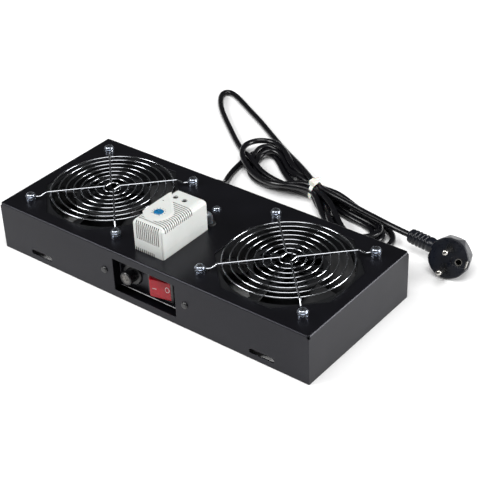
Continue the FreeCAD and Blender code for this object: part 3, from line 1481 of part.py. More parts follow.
make_tray_shell()
make_control_bracket()
make_bracket_fasteners()
make_fan("left", -1, 42.5)
make_fan("right", 1, 44)
make_thermostat_base()
make_thermostat_cover()
make_thermostat_inside()
make_thermostat_cable()
make_switch()
make_fuse_holder()
make_terminal_block()
make_gland()
make_cord()
make_plug()
check_and_write()
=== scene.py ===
"""Rack fan tray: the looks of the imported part, as a small Blender add-on."""
import math

import bmesh
import bpy
from bpy.props import FloatProperty, FloatVectorProperty, IntProperty, PointerProperty
from bpy.types import Operator, Panel, PropertyGroup
from mathutils import Matrix, Vector


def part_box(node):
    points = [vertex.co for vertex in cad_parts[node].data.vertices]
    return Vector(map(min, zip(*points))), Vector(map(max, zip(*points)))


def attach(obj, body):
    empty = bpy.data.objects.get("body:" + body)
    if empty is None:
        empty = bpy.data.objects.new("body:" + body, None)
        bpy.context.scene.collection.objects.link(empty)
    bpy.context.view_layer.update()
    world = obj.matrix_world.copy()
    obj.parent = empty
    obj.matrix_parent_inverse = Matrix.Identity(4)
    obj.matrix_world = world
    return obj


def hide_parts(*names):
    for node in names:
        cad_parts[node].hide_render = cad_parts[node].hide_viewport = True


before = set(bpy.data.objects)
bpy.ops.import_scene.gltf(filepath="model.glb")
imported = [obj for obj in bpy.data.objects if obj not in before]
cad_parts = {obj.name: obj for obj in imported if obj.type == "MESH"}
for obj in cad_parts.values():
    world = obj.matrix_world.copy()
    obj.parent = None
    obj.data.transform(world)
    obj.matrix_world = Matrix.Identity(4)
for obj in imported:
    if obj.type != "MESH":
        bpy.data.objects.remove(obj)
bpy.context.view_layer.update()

bl_info = {
    "name": "Rack fan tray looks",
    "version": (1, 0, 0),
    "blender": (4, 5, 0),
    "location": "3D View > Sidebar > Fan tray",
    "description": "Finishes, cord and small details of a rack fan tray",
    "category": "Object",
}

MM = 0.001

# ---------------------------------------------------------------- settings


class StageSettings(PropertyGroup):
    """Where the camera stands and how the stage is lit."""

    camera_place: FloatVectorProperty(
        name="Camera place", description="Where the lens stands",
        default=(0.6474, -0.7284, 0.6767), size=3, subtype="TRANSLATION", unit="LENGTH")
    bearing: FloatProperty(
        name="Bearing", description="How far round the camera stands from straight in front",
        default=math.radians(39.43), subtype="ANGLE", unit="ROTATION")
    elevation: FloatProperty(
        name="Elevation", description="How steeply the camera looks down",
        default=math.radians(33.55), subtype="ANGLE", unit="ROTATION")
    roll: FloatProperty(
        name="Roll", description="How far the camera leans to one side",
        default=math.radians(-2.478), subtype="ANGLE", unit="ROTATION")
    lens: FloatProperty(
        name="Lens", description="Focal length on a 36 mm sensor",
        default=99.24, min=10, subtype="DISTANCE_CAMERA")
    floor_side: FloatProperty(
        name="Floor side", description="Side of the floor sheet",
        default=14, min=1, subtype="DISTANCE", unit="LENGTH")
    surround: FloatProperty(
        name="Surround", description="Strength of the even light from all round",
        default=0.08, min=0)


class CordSettings(PropertyGroup):
    """The mains cord and what holds it."""

    diameter: FloatProperty(
        name="Cord diameter", description="Across the sheath",
        default=5.8 * MM, min=MM, subtype="DISTANCE", unit="LENGTH")
    tie_place: FloatVectorProperty(
        name="Tie place", description="Middle of the bundle inside the tie",
        default=(0.015, 0.158, 0.01), size=3, subtype="TRANSLATION", unit="LENGTH")
    tie_turn: FloatProperty(
        name="Tie turn", description="Way the bundle runs through the tie, from straight to the right",
        default=math.radians(-20.5), subtype="ANGLE", unit="ROTATION")
    bundle: FloatProperty(
        name="Bundle", description="From the middle strand to the strands round it",
        default=5.7 * MM, min=MM, subtype="DISTANCE", unit="LENGTH")


class DialSettings(PropertyGroup):
    """The temperature scale about the thermostat dial."""

    ring_radius: FloatProperty(
        name="Scale radius", description="To the middle of the scale marks",
        default=5.8 * MM, min=MM, subtype="DISTANCE", unit="LENGTH")
    marks: IntProperty(
        name="Marks", description="How many marks the scale has",
        default=11, min=2, max=40)
    sweep: FloatProperty(
        name="Sweep", description="Angle that the scale spans",
        default=math.radians(270), subtype="ANGLE", unit="ROTATION")


# ---------------------------------------------------------------- finishes


def linear(code):
    """Scene-linear RGBA of an sRGB hex colour."""
    parts = [int(code[i:i + 2], 16) / 255 for i in (0, 2, 4)]
    return [p / 12.92 if p <= 0.04045 else ((p + 0.055) / 1.055) ** 2.4 for p in parts] + [1]


def add_node(tree, kind, settings=None, links=None):
    """A node of that kind, with its settings made and its inputs linked."""
    node = tree.nodes.new(kind)
    for key, value in (settings or {}).items():
        if isinstance(key, int) or key in node.inputs:
            node.inputs[key].default_value = value
        else:
            setattr(node, key, value)
    for key, source in (links or {}).items():
        tree.links.new(source, node.inputs[key])
    return node


class Finish:
    """A material in the making: a principled surface, and the small unevenness laid over it."""

    def __init__(self, name, colour, **sockets):
        self.material = bpy.data.materials.new(name)
        self.material.use_nodes = True
        self.tree = self.material.node_tree
        self.tree.nodes.clear()
        self.surface = add_node(self.tree, "ShaderNodeBsdfPrincipled", {"Base Color": linear(colour)})
        for socket, value in sockets.items():
            self.surface.inputs[socket.replace("_", " ")].default_value = value
        add_node(self.tree, "ShaderNodeOutputMaterial", links={"Surface": self.surface.outputs[0]})
        self.place = add_node(self.tree, "ShaderNodeTexCoord").outputs["Object"]
        self.normal = None

    def noise(self, size, detail=3.0, stretch=(1, 1, 1)):
        """Cloudy noise whose features are about that many millimetres across."""
        scaled = add_node(self.tree, "ShaderNodeMapping", {"Scale": stretch}, {"Vector": self.place})
        return add_node(
            self.tree, "ShaderNodeTexNoise",
            {"Scale": 1 / (size * MM), "Detail": detail, "Roughness": 0.55},
            {"Vector": scaled.outputs[0]}).outputs["Fac"]

    def patches(self, size, other, low=0.35, high=0.7, stretch=(1, 1, 1)):
        """Lets a second colour come through in patches of that size."""
        spread = add_node(
            self.tree, "ShaderNodeMapRange", {"From Min": low, "From Max": high},
            {"Value": self.noise(size, 4.0, stretch)})
        mix = add_node(
            self.tree, "ShaderNodeMix",
            {"data_type": "RGBA", 6: self.surface.inputs["Base Color"].default_value[:], 7: linear(other)},
            {0: spread.outputs[0]})
        self.tree.links.new(mix.outputs[2], self.surface.inputs["Base Color"])
        return self

    def paint_shade_in_hollows(self, reach, other):
        """Painted shade: a second colour laid into grooves and slots, where little light gets within that
        many millimetres.
        """
        open_sky = add_node(self.tree, "ShaderNodeAmbientOcclusion", {"samples": 8, "Distance": reach * MM})
        share = add_node(
            self.tree, "ShaderNodeMapRange", {"From Min": 0.25, "From Max": 0.6},
            {"Value": open_sky.outputs["AO"]})
        mix = add_node(
            self.tree, "ShaderNodeMix", {"data_type": "RGBA", 6: linear(other)},
            {0: share.outputs[0], 7: self.surface.inputs["Base Color"].links[0].from_socket})
        self.tree.links.new(mix.outputs[2], self.surface.inputs["Base Color"])
        return self

    def sheen_change(self, size, low, high, stretch=(1, 1, 1)):
        """Roughness that wanders between two values."""
        spread = add_node(
            self.tree, "ShaderNodeMapRange",
            {"From Min": 0.3, "From Max": 0.7, "To Min": low, "To Max": high},
            {"Value": self.noise(size, 3.0, stretch)})
        self.tree.links.new(spread.outputs[0], self.surface.inputs["Roughness"])
        return self

    def relief(self, size, depth, stretch=(1, 1, 1)):
        """A fine relief, its grain and its depth in millimetres."""
        links = {"Height": self.noise(size, 2.0, stretch)}
        if self.normal:
            links["Normal"] = self.normal
        self.normal = add_node(
            self.tree, "ShaderNodeBump", {"Strength": 1.0, "Distance": depth * MM}, links).outputs[0]
        self.tree.links.new(self.normal, self.surface.inputs["Normal"])
        return self

    def soft_edges(self, radius):
        """Edges that catch the light as if rounded to that many millimetres."""
        self.normal = add_node(
            self.tree, "ShaderNodeBevel", {"samples": 4, "Radius": radius * MM}).outputs[0]
        self.tree.links.new(self.normal, self.surface.inputs["Normal"])
        return self


def powder_coat():
    # Baked polyester powder: a satin black skin with a fine orange peel, a thin line of light on its folds.
    finish = Finish("polyester powder coat", "08080b", Roughness=0.31, IOR=1.5, Specular_IOR_Level=0.29)
    finish.surface.inputs["Specular Tint"].default_value = linear("f0f0ff")
    return finish.patches(38, "0c0c10").sheen_change(24, 0.28, 0.35).soft_edges(0.9).relief(0.9, 0.012)


def zinc_steel():
    # Bright zinc with a blue passivate: cold grey, faintly blotched, not quite a mirror.
    finish = Finish("blue passivated zinc", "c3c9d2", Metallic=1.0, Roughness=0.24)
    return finish.patches(3, "a3aab8").sheen_change(1.6, 0.18, 0.34).relief(0.7, 0.01)


def chrome_wire():
    # Nickel and chrome over drawn wire: a near mirror that shows the light and the dark round it.
    finish = Finish("nickel and chrome plate", "b4b6ba", Metallic=1.0, Roughness=0.1)
    return finish.patches(14, "a2a5aa").sheen_change(5, 0.07, 0.16).relief(2.2, 0.01)


def black_steel():
    # Blackened screws: dark oxide with a little oil on it.
    finish = Finish("black oxide steel", "0a0a0c", Roughness=0.3, IOR=1.6)
    return finish.patches(1.5, "121214").sheen_change(1.2, 0.24, 0.4)


def fan_plastic():
    # Glass filled polyester: nearly black, spark eroded, with flow marks of the mould.
    finish = Finish("glass filled polyester", "0e0f11", Roughness=0.5, IOR=1.55, Specular_IOR_Level=0.25)
    return finish.patches(9, "141517", stretch=(1, 1, 0.3)).sheen_change(6, 0.44, 0.58).relief(0.5, 0.012)


def dark_steel():
    # Stacked laminations and turned steel: grey metal with lines across the stack.
    finish = Finish("laminated steel", "6b6c70", Metallic=1.0, Roughness=0.38)
    return finish.patches(0.5, "505156", stretch=(0.05, 0.05, 1)).sheen_change(2, 0.3, 0.48)


def pale_plastic():
    # Flame retardant ABS in light grey: satin and finely sparked, with a faintly warm grey painted shade laid
    # into its slots and grooves.
    finish = Finish("light grey ABS", "cbcdca", Roughness=0.46, IOR=1.54, Subsurface_Weight=0.06)
    finish.surface.inputs["Subsurface Scale"].default_value = 1.5 * MM
    finish.patches(16, "c5c8c5").paint_shade_in_hollows(3, "857f7b")
    return finish.sheen_change(8, 0.42, 0.52).soft_edges(0.35).relief(0.4, 0.008)


def blue_plastic():
    # Blue nylon of the knob: strong, a little glossy where fingers turn it.
    finish = Finish("blue nylon", "025b8c", Roughness=0.32, IOR=1.53)
    return finish.patches(2.5, "076b9b").sheen_change(2, 0.26, 0.4).soft_edges(0.2)


def black_plastic():
    # Moulded nylon housings: deep black with a tight highlight.
    finish = Finish("black nylon", "0b0b0d", Roughness=0.3, IOR=1.53)
    return finish.patches(7, "101013").sheen_change(5, 0.25, 0.38).soft_edges(0.25).relief(0.6, 0.006)


def black_rubber():
    # Soft vinyl of the grommet: dull, slightly dusty.
    finish = Finish("soft black vinyl", "0c0c0e", Roughness=0.62, IOR=1.52)
    return finish.patches(3, "141416").relief(0.5, 0.015)


def grey_pvc():
    # Thin clouded sheath that lets some light through.
    finish = Finish("clouded PVC sheath", "43474c", Roughness=0.35, IOR=1.53, Subsurface_Weight=0.25)
    finish.surface.inputs["Subsurface Scale"].default_value = 2 * MM
    return finish.patches(4, "565b60").relief(1.5, 0.02)


def red_rocker():
    # Tinted polycarbonate over a lamp: glossy, the colour deeper inside.
    finish = Finish("red tinted polycarbonate", "8c0413", Roughness=0.2, IOR=1.585, Specular_IOR_Level=0.28,
                    Subsurface_Weight=0.12)
    finish.surface.inputs["Subsurface Radius"].default_value = (1.0, 0.15, 0.12)
    finish.surface.inputs["Subsurface Scale"].default_value = 2 * MM
    return finish.patches(9, "a61022").sheen_change(6, 0.12, 0.22).soft_edges(0.3)


def brass():
    # Stamped brass tabs: yellow metal with a rolled grain.
    finish = Finish("rolled brass", "c9a55a", Metallic=1.0, Roughness=0.3)
    return finish.patches(2, "b8944c").sheen_change(1, 0.22, 0.4, stretch=(1, 0.2, 1))


def nickel():
    # Nickel plated brass pins and sleeves: a warm pale mirror with fine turning lines.
    finish = Finish("nickel plated brass", "cfccc6", Metallic=1.0, Roughness=0.18)
    return finish.patches(3, "bab7b2").sheen_change(0.8, 0.13, 0.26, stretch=(1, 1, 0.3))


def worn_nickel():
    # The cap's insert: nickel gone grey, with scratches from screwdrivers.
    finish = Finish("worn nickel plate", "7d7b78", Metallic=1.0, Roughness=0.3)
    return finish.patches(1.2, "3c3b3a").sheen_change(0.7, 0.14, 0.45).relief(1.1, 0.03)


def clear_glass():
    # Soda glass tube: clear, with the faint waviness of drawn tube.
    finish = Finish("soda glass", "f2f6f5", Roughness=0.03, IOR=1.52, Transmission_Weight=1.0)
    return finish.relief(2.5, 0.02)


def cord_pvc():
    # Soft vinyl sheath: near black with a long grey highlight, drawn lines, the lay of the cores under it.
    finish = Finish("black PVC sheath", "07070a", Roughness=0.26, IOR=1.54, Specular_IOR_Level=0.36)
    return finish.patches(30, "0b0b0f").sheen_change(11, 0.2, 0.3).relief(6, 0.03).relief(0.4, 0.006)


def plug_pvc():
    # Moulded vinyl of the plug: blue-black, matt, softly grained.
    finish = Finish("moulded black vinyl", "090c14", Roughness=0.3, IOR=1.54, Specular_IOR_Level=0.4)
    return finish.patches(8, "0d111b").sheen_change(5, 0.24, 0.38).soft_edges(0.5).relief(0.45, 0.012)


def natural_nylon():
    # Natural nylon strap: milky, light shines through its thin parts.
    finish = Finish("natural nylon", "e6e4dc", Roughness=0.36, IOR=1.53, Subsurface_Weight=0.35)
    finish.surface.inputs["Subsurface Scale"].default_value = 3 * MM
    return finish.patches(3, "dcdad0").sheen_change(2, 0.3, 0.44).relief(0.5, 0.01)


def pale_print():
    # Pad printed ink: flat off-white, a little thin at the grain of what is under it.
    finish = Finish("pale printing ink", "fbfbfb", Roughness=0.6, IOR=1.5)
    return finish.patches(0.6, "e4e6e6").relief(0.2, 0.004)


def blue_print():
    # The same ink in blue.
    finish = Finish("blue printing ink", "3f6c8c", Roughness=0.55, IOR=1.5)
    return finish.patches(0.7, "4c7897").relief(0.2, 0.004)


def painted_edge_highlight():
    # Painted highlight: a near-white strip that stands in for the light caught by the switch panel's lower
    # edge.
    finish = Finish("pale painted highlight", "f4f4f6", Roughness=0.4, IOR=1.5)
    return finish.patches(4, "c9c9cc").relief(0.5, 0.01)


def recess_shade_paint():
    # Painted shade: the dark at the bottom of a cross recess, laid on as a flat colour.
    finish = Finish("painted recess shade", "1d1c1b", Roughness=0.5, IOR=1.5)
    return finish.patches(0.5, "2b2a28")


def hub_film():
    # Polyester film over the fan hub: dark grey, smoother than the plastic round it.
    finish = Finish("dark polyester film", "101113", Roughness=0.42, IOR=1.57, Specular_IOR_Level=0.2)
    return finish.patches(12, "15171a").sheen_change(7, 0.36, 0.48)


MAKERS = (
    powder_coat, zinc_steel, black_steel, chrome_wire, fan_plastic, dark_steel, pale_plastic, blue_plastic,
    black_plastic, black_rubber, grey_pvc, red_rocker, brass, nickel, clear_glass, cord_pvc, plug_pvc,
    natural_nylon,
)
BY_SLOT = {maker.__name__: maker for maker in MAKERS}
MADE = {}


def material_of(maker):
    """The material of that maker, made once."""
    if maker not in MADE:
        MADE[maker] = maker().material
    return MADE[maker]


def dress_nodes(*starts):
    """Gives each CAD node whose name starts so the finish of its own material slot."""
    for name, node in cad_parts.items():
        if name.startswith(starts):
            slot = node.data.materials[0].name
            node.data.materials[0] = material_of(BY_SLOT[slot])


# ---------------------------------------------------------------- building


def settings():
    """The stage's, the cord's and the dial's settings."""
    scene = bpy.context.scene
    return scene.fan_tray_stage, scene.fan_tray_cord, scene.fan_tray_dial


def piece(name, data, maker, body):
    """An object with a finish, riding on a CAD body."""
    made = bpy.data.objects.new(name, data)
    bpy.context.scene.collection.objects.link(made)
    data.materials.append(material_of(maker))
    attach(made, body)
    return made


def laid_on(node, points, way, lift):
    """The points, each moved along that way until it is just above the CAD node's surface."""
    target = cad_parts[node]
    way = Vector(way).normalized()
    stand_off = 50 * MM
    landed = []
    for point in points:
        start = Vector(point) - way * stand_off
        hit, place, _, _ = target.ray_cast(start, way, distance=2 * stand_off)
        if not hit:
            raise RuntimeError(f"a mark misses {node}")
        landed.append(place - way * lift)
    return landed


def band(mesh, inner, outer, closed):
    """Joins two rows of points into a strip of faces."""
    rows = [[mesh.verts.new(point) for point in row] for row in (inner, outer)]
    count = len(inner)
    for i in range(count if closed else count - 1):
        j = (i + 1) % count
        mesh.faces.new((rows[0][i], rows[0][j], rows[1][j], rows[1][i]))


def print_on(name, node, way, patches, maker, body, thickness=0.05 * MM):
    """A printed mark: strips laid just off a CAD node's surface, each (inner row, outer row, closed)."""
    mesh = bmesh.new()
    for inner, outer, closed in patches:
        band(mesh, laid_on(node, inner, way, thickness), laid_on(node, outer, way, thickness), closed)
    # The new faces have no normals yet, so this gives the strips a back but no thickness.
    bmesh.ops.solidify(mesh, geom=mesh.faces[:], thickness=thickness * 0.8)
    bmesh.ops.recalc_face_normals(mesh, faces=mesh.faces[:])
    data = bpy.data.meshes.new(name)
    mesh.to_mesh(data)
    mesh.free()
    return piece(name, data, maker, body)


# ---------------------------------------------------------------- stage


def soft_box(name, place, aim, size, power):
    """A square studio light that faces a point."""
    light = bpy.data.lights.new(name, "AREA")
    light.shape, light.size, light.energy = "SQUARE", size, power
    lamp = bpy.data.objects.new(name, light)
    bpy.context.scene.collection.objects.link(lamp)
    lamp.location = place
    lamp.rotation_euler = (Vector(aim) - Vector(place)).to_track_quat("-Z", "Y").to_euler()


def make_floor(side):
    """A broad pale sheet under the object."""
    mesh = bmesh.new()
    bmesh.ops.create_grid(mesh, x_segments=8, y_segments=8, size=side / 2)
    data = bpy.data.meshes.new("floor")
    mesh.to_mesh(data)
    mesh.free()
    floor = bpy.data.objects.new("floor", data)
    floor.location.z = -0.2 * MM
    bpy.context.scene.collection.objects.link(floor)
    data.materials.append(Finish("white sweep", "f8f8f8", Roughness=0.9).material)


def set_camera(stage):
    """Stands the camera at its place, turned by bearing, elevation and roll."""
    flat, up = math.cos(stage.elevation), math.sin(stage.elevation)
    back = Vector((math.sin(stage.bearing) * flat, -math.cos(stage.bearing) * flat, up))
    right = Vector((0, 0, 1)).cross(back).normalized()
    above = back.cross(right)
    turned = Matrix((right, above, back)).transposed() @ Matrix.Rotation(stage.roll, 3, "Z")
    camera = bpy.data.objects.new("camera", bpy.data.cameras.new("camera"))
    camera.data.lens, camera.data.sensor_width = stage.lens, 36
    camera.data.dof.use_dof = False
    camera.matrix_world = Matrix.Translation(stage.camera_place) @ turned.to_4x4()
    bpy.context.scene.collection.objects.link(camera)
    bpy.context.scene.camera = camera


class FANTRAY_OT_stage(Operator):
    """Sets the camera, the floor and the studio light"""

    bl_idname = "fan_tray.stage"
    bl_label = "Stage"

    def execute(self, context):
        stage = settings()[0]
        set_camera(stage)
        make_floor(stage.floor_side)
        middle = (0, 0, 0.03)
        soft_box("top_box", (0.4, -0.5, 2.4), middle, 1.8, 52)
        soft_box("right_box", (1.25, 0.8, 0.28), middle, 0.7, 30)
        soft_box("front_box", (-1.25, -1.3, 1.45), middle, 0.95, 38)
        world = bpy.data.worlds.new("surround")
        world.use_nodes = True
        world.node_tree.nodes["Background"].inputs["Color"].default_value = linear("ffffff")
        world.node_tree.nodes["Background"].inputs["Strength"].default_value = stage.surround
        context.scene.world = world
        context.scene.view_settings.view_transform = "Standard"
        return {"FINISHED"}


# ---------------------------------------------------------------- metal and fans


class FANTRAY_OT_metal(Operator):
    """Finishes the sheet metal, its screws and the hardware under it"""

    bl_idname = "fan_tray.metal"
    bl_label = "Sheet metal"

    def execute(self, context):
        dress_nodes("tray_shell", "control_bracket", "bracket_", "terminal_", "wire_grommet")
        self.return_flange()
        # Lays a painted highlight along the switch panel's lower edge.
        self.panel_edge_highlight()
        return {"FINISHED"}

    def return_flange(self):
        """The foot of the front wall folded in under the switch, with rounded inner corners."""
        low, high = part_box("control_bracket")
        reach, sheet, round_off = 22 * MM, 1.2 * MM, 5 * MM
        gap, above_floor = 0.05 * MM, 0.1 * MM
        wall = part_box("tray_shell")[0].y + sheet
        outline = [(low.x, wall + gap), (high.x, wall + gap)]
        for x, side, turns in ((high.x, 1, range(0, 91, 15)), (low.x, -1, range(90, -1, -15))):
            for turn in turns:
                angle = math.radians(turn)
                aside = side * round_off * (1 - math.cos(angle))
                outline.append((x - aside, wall + reach - round_off * (1 - math.sin(angle))))
        mesh = bmesh.new()
        foot = mesh.faces.new([mesh.verts.new((x, y, above_floor)) for x, y in outline])
        raised = bmesh.ops.extrude_face_region(mesh, geom=[foot])["geom"]
        tops = [item for item in raised if isinstance(item, bmesh.types.BMVert)]
        bmesh.ops.translate(mesh, verts=tops, vec=(0, 0, sheet))
        bmesh.ops.recalc_face_normals(mesh, faces=mesh.faces[:])
        data = bpy.data.meshes.new("return_flange")
        mesh.to_mesh(data)
        mesh.free()
        piece("return_flange", data, powder_coat, "tray")

    def panel_edge_highlight(self):
        """A painted highlight: a pale strip laid along the lower edge of the switch panel, standing in for
        the line of light on that edge.
        """
        low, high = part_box("control_bracket")
        inset, height, stands, sunk = 9 * MM, 0.6 * MM, 0.35 * MM, 0.1 * MM
        probe = ((low.x + high.x) / 2, low.y, low.z + 2 * MM)
        front = laid_on("control_bracket", [probe], (0, 1, 0), 0)[0].y
        top = low.z + height
        corners = ((front - stands, low.z), (front + sunk, low.z), (front + sunk, top), (front - stands, top))
        sections = [[Vector((x, y, z)) for y, z in corners] for x in (low.x + inset, high.x - inset)]
        swept("panel_edge_highlight", sections, painted_edge_highlight, "tray")


# Inner and outer radius, in millimetres, of the disc and of the ring that the film shows as.
HUB_FILM = ((0.6, 12), (12.5, 29.4))


class FANTRAY_OT_fans(Operator):
    """Finishes the two fans and lays the film on their hubs"""

    bl_idname = "fan_tray.fans"
    bl_label = "Fans"

    def execute(self, context):
        dress_nodes("fan_")
        down = (0, 0, -1)
        for side in ("left", "right"):
            hub = f"fan_{side}_impeller"
            low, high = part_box(hub)
            middle = (low + high) / 2
            middle.z = high.z
            rings = [[arc_row(middle, r * MM, 0, math.tau, 64)[:-1] for r in edges] for edges in HUB_FILM]
            film = [(inner, outer, True) for inner, outer in rings]
            print_on(f"hub_film_{side}", hub, down, film, hub_film, f"fan_{side}_rotor", 0.08 * MM)
            self.painted_drive_recess_shade(side)
        return {"FINISHED"}

    def painted_drive_recess_shade(self, side):
        """Painted shade: flat dark crosses laid on the four screws of a fan, where a driver goes in."""
        low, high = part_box(f"fan_{side}_screws")
        head, half_slot, askew, slim = 4.95 * MM, 1.7 * MM, 0.3, 0.22
        strips = []
        for x in (low.x + head, high.x - head):
            for y in (low.y + head, high.y - head):
                for turn in (askew, askew + math.pi / 2):
                    along = Vector((math.cos(turn), math.sin(turn), 0)) * half_slot
                    aside = Vector((-along.y, along.x, 0)) * slim
                    spots = [Vector((x, y, high.z)) + along * share for share in (-1, -0.5, 0, 0.5, 1)]
                    strips.append(([p - aside for p in spots], [p + aside for p in spots], False))
        print_on(f"painted_drive_recess_shade_{side}", f"fan_{side}_screws", (0, 0, -1), strips, recess_shade_paint, "tray")


# ---------------------------------------------------------------- thermostat


def arc_row(middle, radius, start, end, steps):
    """Points on an arc of that radius in the level plane."""
    angles = [start + (end - start) * i / steps for i in range(steps + 1)]
    return [(middle.x + radius * math.cos(a), middle.y + radius * math.sin(a), middle.z) for a in angles]


def dial_marks(middle, dial):
    """The marks of the scale as short strips that point at the dial's middle."""
    first = math.radians(-90) + (math.tau - dial.sweep) / 2
    half, short, long = 0.28 * MM, 0.9 * MM, 1.3 * MM
    strips = []
    for i in range(dial.marks):
        angle = first + dial.sweep * i / (dial.marks - 1)
        reach = short if i % 2 else long
        rows = []
        for radius in (dial.ring_radius - reach / 2, dial.ring_radius + reach / 2):
            spread = half / radius
            rows.append(arc_row(middle, radius, angle - spread, angle + spread, 1))
        strips.append((rows[0], rows[1], False))
    return strips


class FANTRAY_OT_thermostat(Operator):
    """Finishes the thermostat and prints the scale about its dial"""

    bl_idname = "fan_tray.thermostat"
    bl_label = "Thermostat"

    def execute(self, context):
        dress_nodes("thermostat_")
        dial = settings()[2]
        low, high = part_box("thermostat_dial")
        middle = (low + high) / 2
        middle.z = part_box("thermostat_cover")[1].z
        down = (0, 0, -1)
        print_on("dial_scale", "thermostat_cover", down, dial_marks(middle, dial), blue_print, "tray")
        return {"FINISHED"}


# ---------------------------------------------------------------- controls


def upright_row(middle, radius, steps=28, narrowed=0.72):
    """Points of a tall, narrowed ring that stands upright, facing front."""
    angles = [math.tau * i / steps for i in range(steps)]
    return [middle + Vector((math.cos(a) * narrowed, 0, math.sin(a))) * radius for a in angles]


class FANTRAY_OT_controls(Operator):
    """Finishes the switch and the fuse holder and prints the two switch marks"""

    bl_idname = "fan_tray.controls"
    bl_label = "Switch and fuse"

    def execute(self, context):
        dress_nodes("switch_", "fuse_")
        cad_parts["fuse_cap_insert"].data.materials[0] = material_of(worn_nickel)
        low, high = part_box("switch_rocker")
        middle = (low + high) / 2
        quarter = (high.x - low.x) / 4
        aside, raised = 2 * MM, 1.7 * MM
        left = Vector((middle.x - quarter + aside, low.y, middle.z))
        right = Vector((middle.x + quarter + aside, low.y, middle.z + raised))
        half, thick = 2.0 * MM, 0.4 * MM
        dash = [[left + Vector((end, 0, side)) for end in (-half, half)] for side in (-thick, thick)]
        self.mark("switch_on_mark", dash, False)
        self.mark("switch_off_mark", [upright_row(right, r * MM) for r in (2.25, 2.9)], True)
        return {"FINISHED"}

    def mark(self, name, rows, closed):
        """A pale mark on the rocker's face."""
        print_on(name, "switch_rocker", (0, 1, 0), [(rows[0], rows[1], closed)], pale_print, "switch_rocker")


# ---------------------------------------------------------------- cord

# Rough places of the cord's control points in millimetres, which settle() then eases between lead and loop.
# From the gland, down to the floor and back beneath the turns, to the bundle in the tie.
LEAD = (
    (-63, 94.5, 22), (-63.2, 100.5, 20.6), (-63.8, 106.3, 17.7), (-65.1, 112, 13.3), (-67.3, 118, 8.5),
    (-70.4, 124.2, 5), (-74.2, 131.5, 3.3), (-77.8, 141, 3.1), (-80.5, 151, 3.1), (-82.6, 162, 3.1),
    (-84.2, 174, 3.1), (-85.2, 185.5, 3.1), (-83.5, 196, 3.1), (-76.5, 201, 3.1), (-66, 199, 3.3),
    (-48, 190.5, 3.6), (-26, 178, 4.5),
)
# The long loop, out along the near side and back along the far side.
LONG_LOOP = (
    (-2, 158, 4.6), (-18, 157, 4.2), (-36, 159, 4), (-53, 163, 4.6), (-68, 170, 6.5), (-80, 176.5, 8.2),
    (-89, 182, 5.4), (-101, 190, 3.1), (-115, 200, 3.1), (-134, 215, 3.1), (-154, 231, 3.1),
    (-171, 245.5, 3.1), (-183, 258, 3.1), (-191, 269, 3.1), (-194.5, 277.5, 3.1), (-190.5, 283.2, 3.1),
    (-180.5, 281, 3.1), (-165, 273, 3.1), (-144, 261, 3.1), (-120, 248, 3.1), (-96.5, 233.5, 3.1),
    (-72.5, 218.6, 3.6), (-48, 202.5, 6.5), (-24, 186.7, 10.5), (-4, 172.5, 13.6),
)
# From the bundle to the mouth of the plug's sleeve.
PLUG_LEAD = (
    (36, 153.6, 15.6), (55, 150.2, 15.4), (76, 145.8, 15.2), (98, 141, 16.2), (117.5, 136.2, 17.1),
    (135.4, 135.4, 16.1),
)
# A turn's outline from the tie and back: share of its reach, and of its width on the far side (+) or the
# near side (-).
LEFT_OUTLINE = (
    (0.07, -0.42), (0.17, -0.68), (0.29, -0.93), (0.43, -1.06), (0.57, -1.0), (0.7, -0.84), (0.82, -0.64),
    (0.92, -0.43), (1.0, -0.12), (1.02, 0.5), (0.92, 1.0), (0.75, 1.05), (0.55, 0.9), (0.35, 0.6),
    (0.16, 0.3),
)
RIGHT_OUTLINE = (
    (0.14, 0.25), (0.32, 0.5), (0.52, 0.8), (0.72, 1.05), (0.9, 1.0), (1.02, 0.45), (1.02, -0.3),
    (0.92, -0.78), (0.74, -0.92), (0.56, -0.78), (0.4, -0.52), (0.26, -0.3), (0.13, -0.14),
)
# Each turn: reach, width near, width far, then heights along the near side, at the end, along the far side.
LEFT_TURNS = ((112, 22, 5, 4.2, 6.5, 4.0), (116, 27, 9, 4.6, 6.5, 3.4), (124, 33.5, 10.5, 8.0, 9.4, 9.2))
RIGHT_TURNS = (
    (101, 23, 5, 3.1, 3.1, 3.1), (106, 23, 11, 8.8, 6, 3.1), (112, 31, 18, 3.1, 3.1, 3.1),
    (101, 31, 12, 8.8, 8.8, 8.8),
)
LEFT_BEARING, RIGHT_BEARING = math.radians(156.2), math.radians(-17.5)
# The strands' places in the bundle, as eighths of a turn from the far side, upward; None is the middle.
RIGHTWARD_PLACES = (-1.5, -0.5, None, 0.5, 1.5)
LEFTWARD_PLACES = (-3.5, 2.5, 3.5, -2.5)


def strand(cord, place, way):
    """Two points that hold one strand straight where the tie squeezes the bundle."""
    middle = Vector(cord.tie_place)
    along = Vector((math.cos(cord.tie_turn), math.sin(cord.tie_turn), 0))
    across = Vector((-along.y, along.x, 0))
    offset = Vector()
    if place is not None:
        angle = math.radians(45) * place
        offset = (across * math.cos(angle) + Vector((0, 0, 1)) * math.sin(angle)) * cord.bundle
    straight = along * way * 7 * MM
    return [middle + offset - straight, middle + offset + straight]


def turn_points(cord, outline, bearing, turn):
    """One half turn of the hank as a leaf from the tie and back to it."""
    reach, near, far, near_height, end_height, far_height = turn
    lifted_to, level_to, end_span = 0.3, 0.7, 0.32
    middle = Vector(cord.tie_place)
    along = Vector((math.cos(bearing), math.sin(bearing)))
    across = Vector((-along.y, along.x)) * (1 if along.x > 0 else -1)
    points = []
    for share, side in outline:
        flat = along * share * reach + across * side * (far if side > 0 else near)
        settled = near_height if side < 0 else far_height
        height = settled + (end_height - settled) * max(0, share - level_to) / end_span
        rise = max(0, 1 - share / lifted_to)
        height = height + (cord.tie_place[2] / MM - height) * rise
        points.append(Vector((middle.x + flat.x * MM, middle.y + flat.y * MM, height * MM)))
    return points


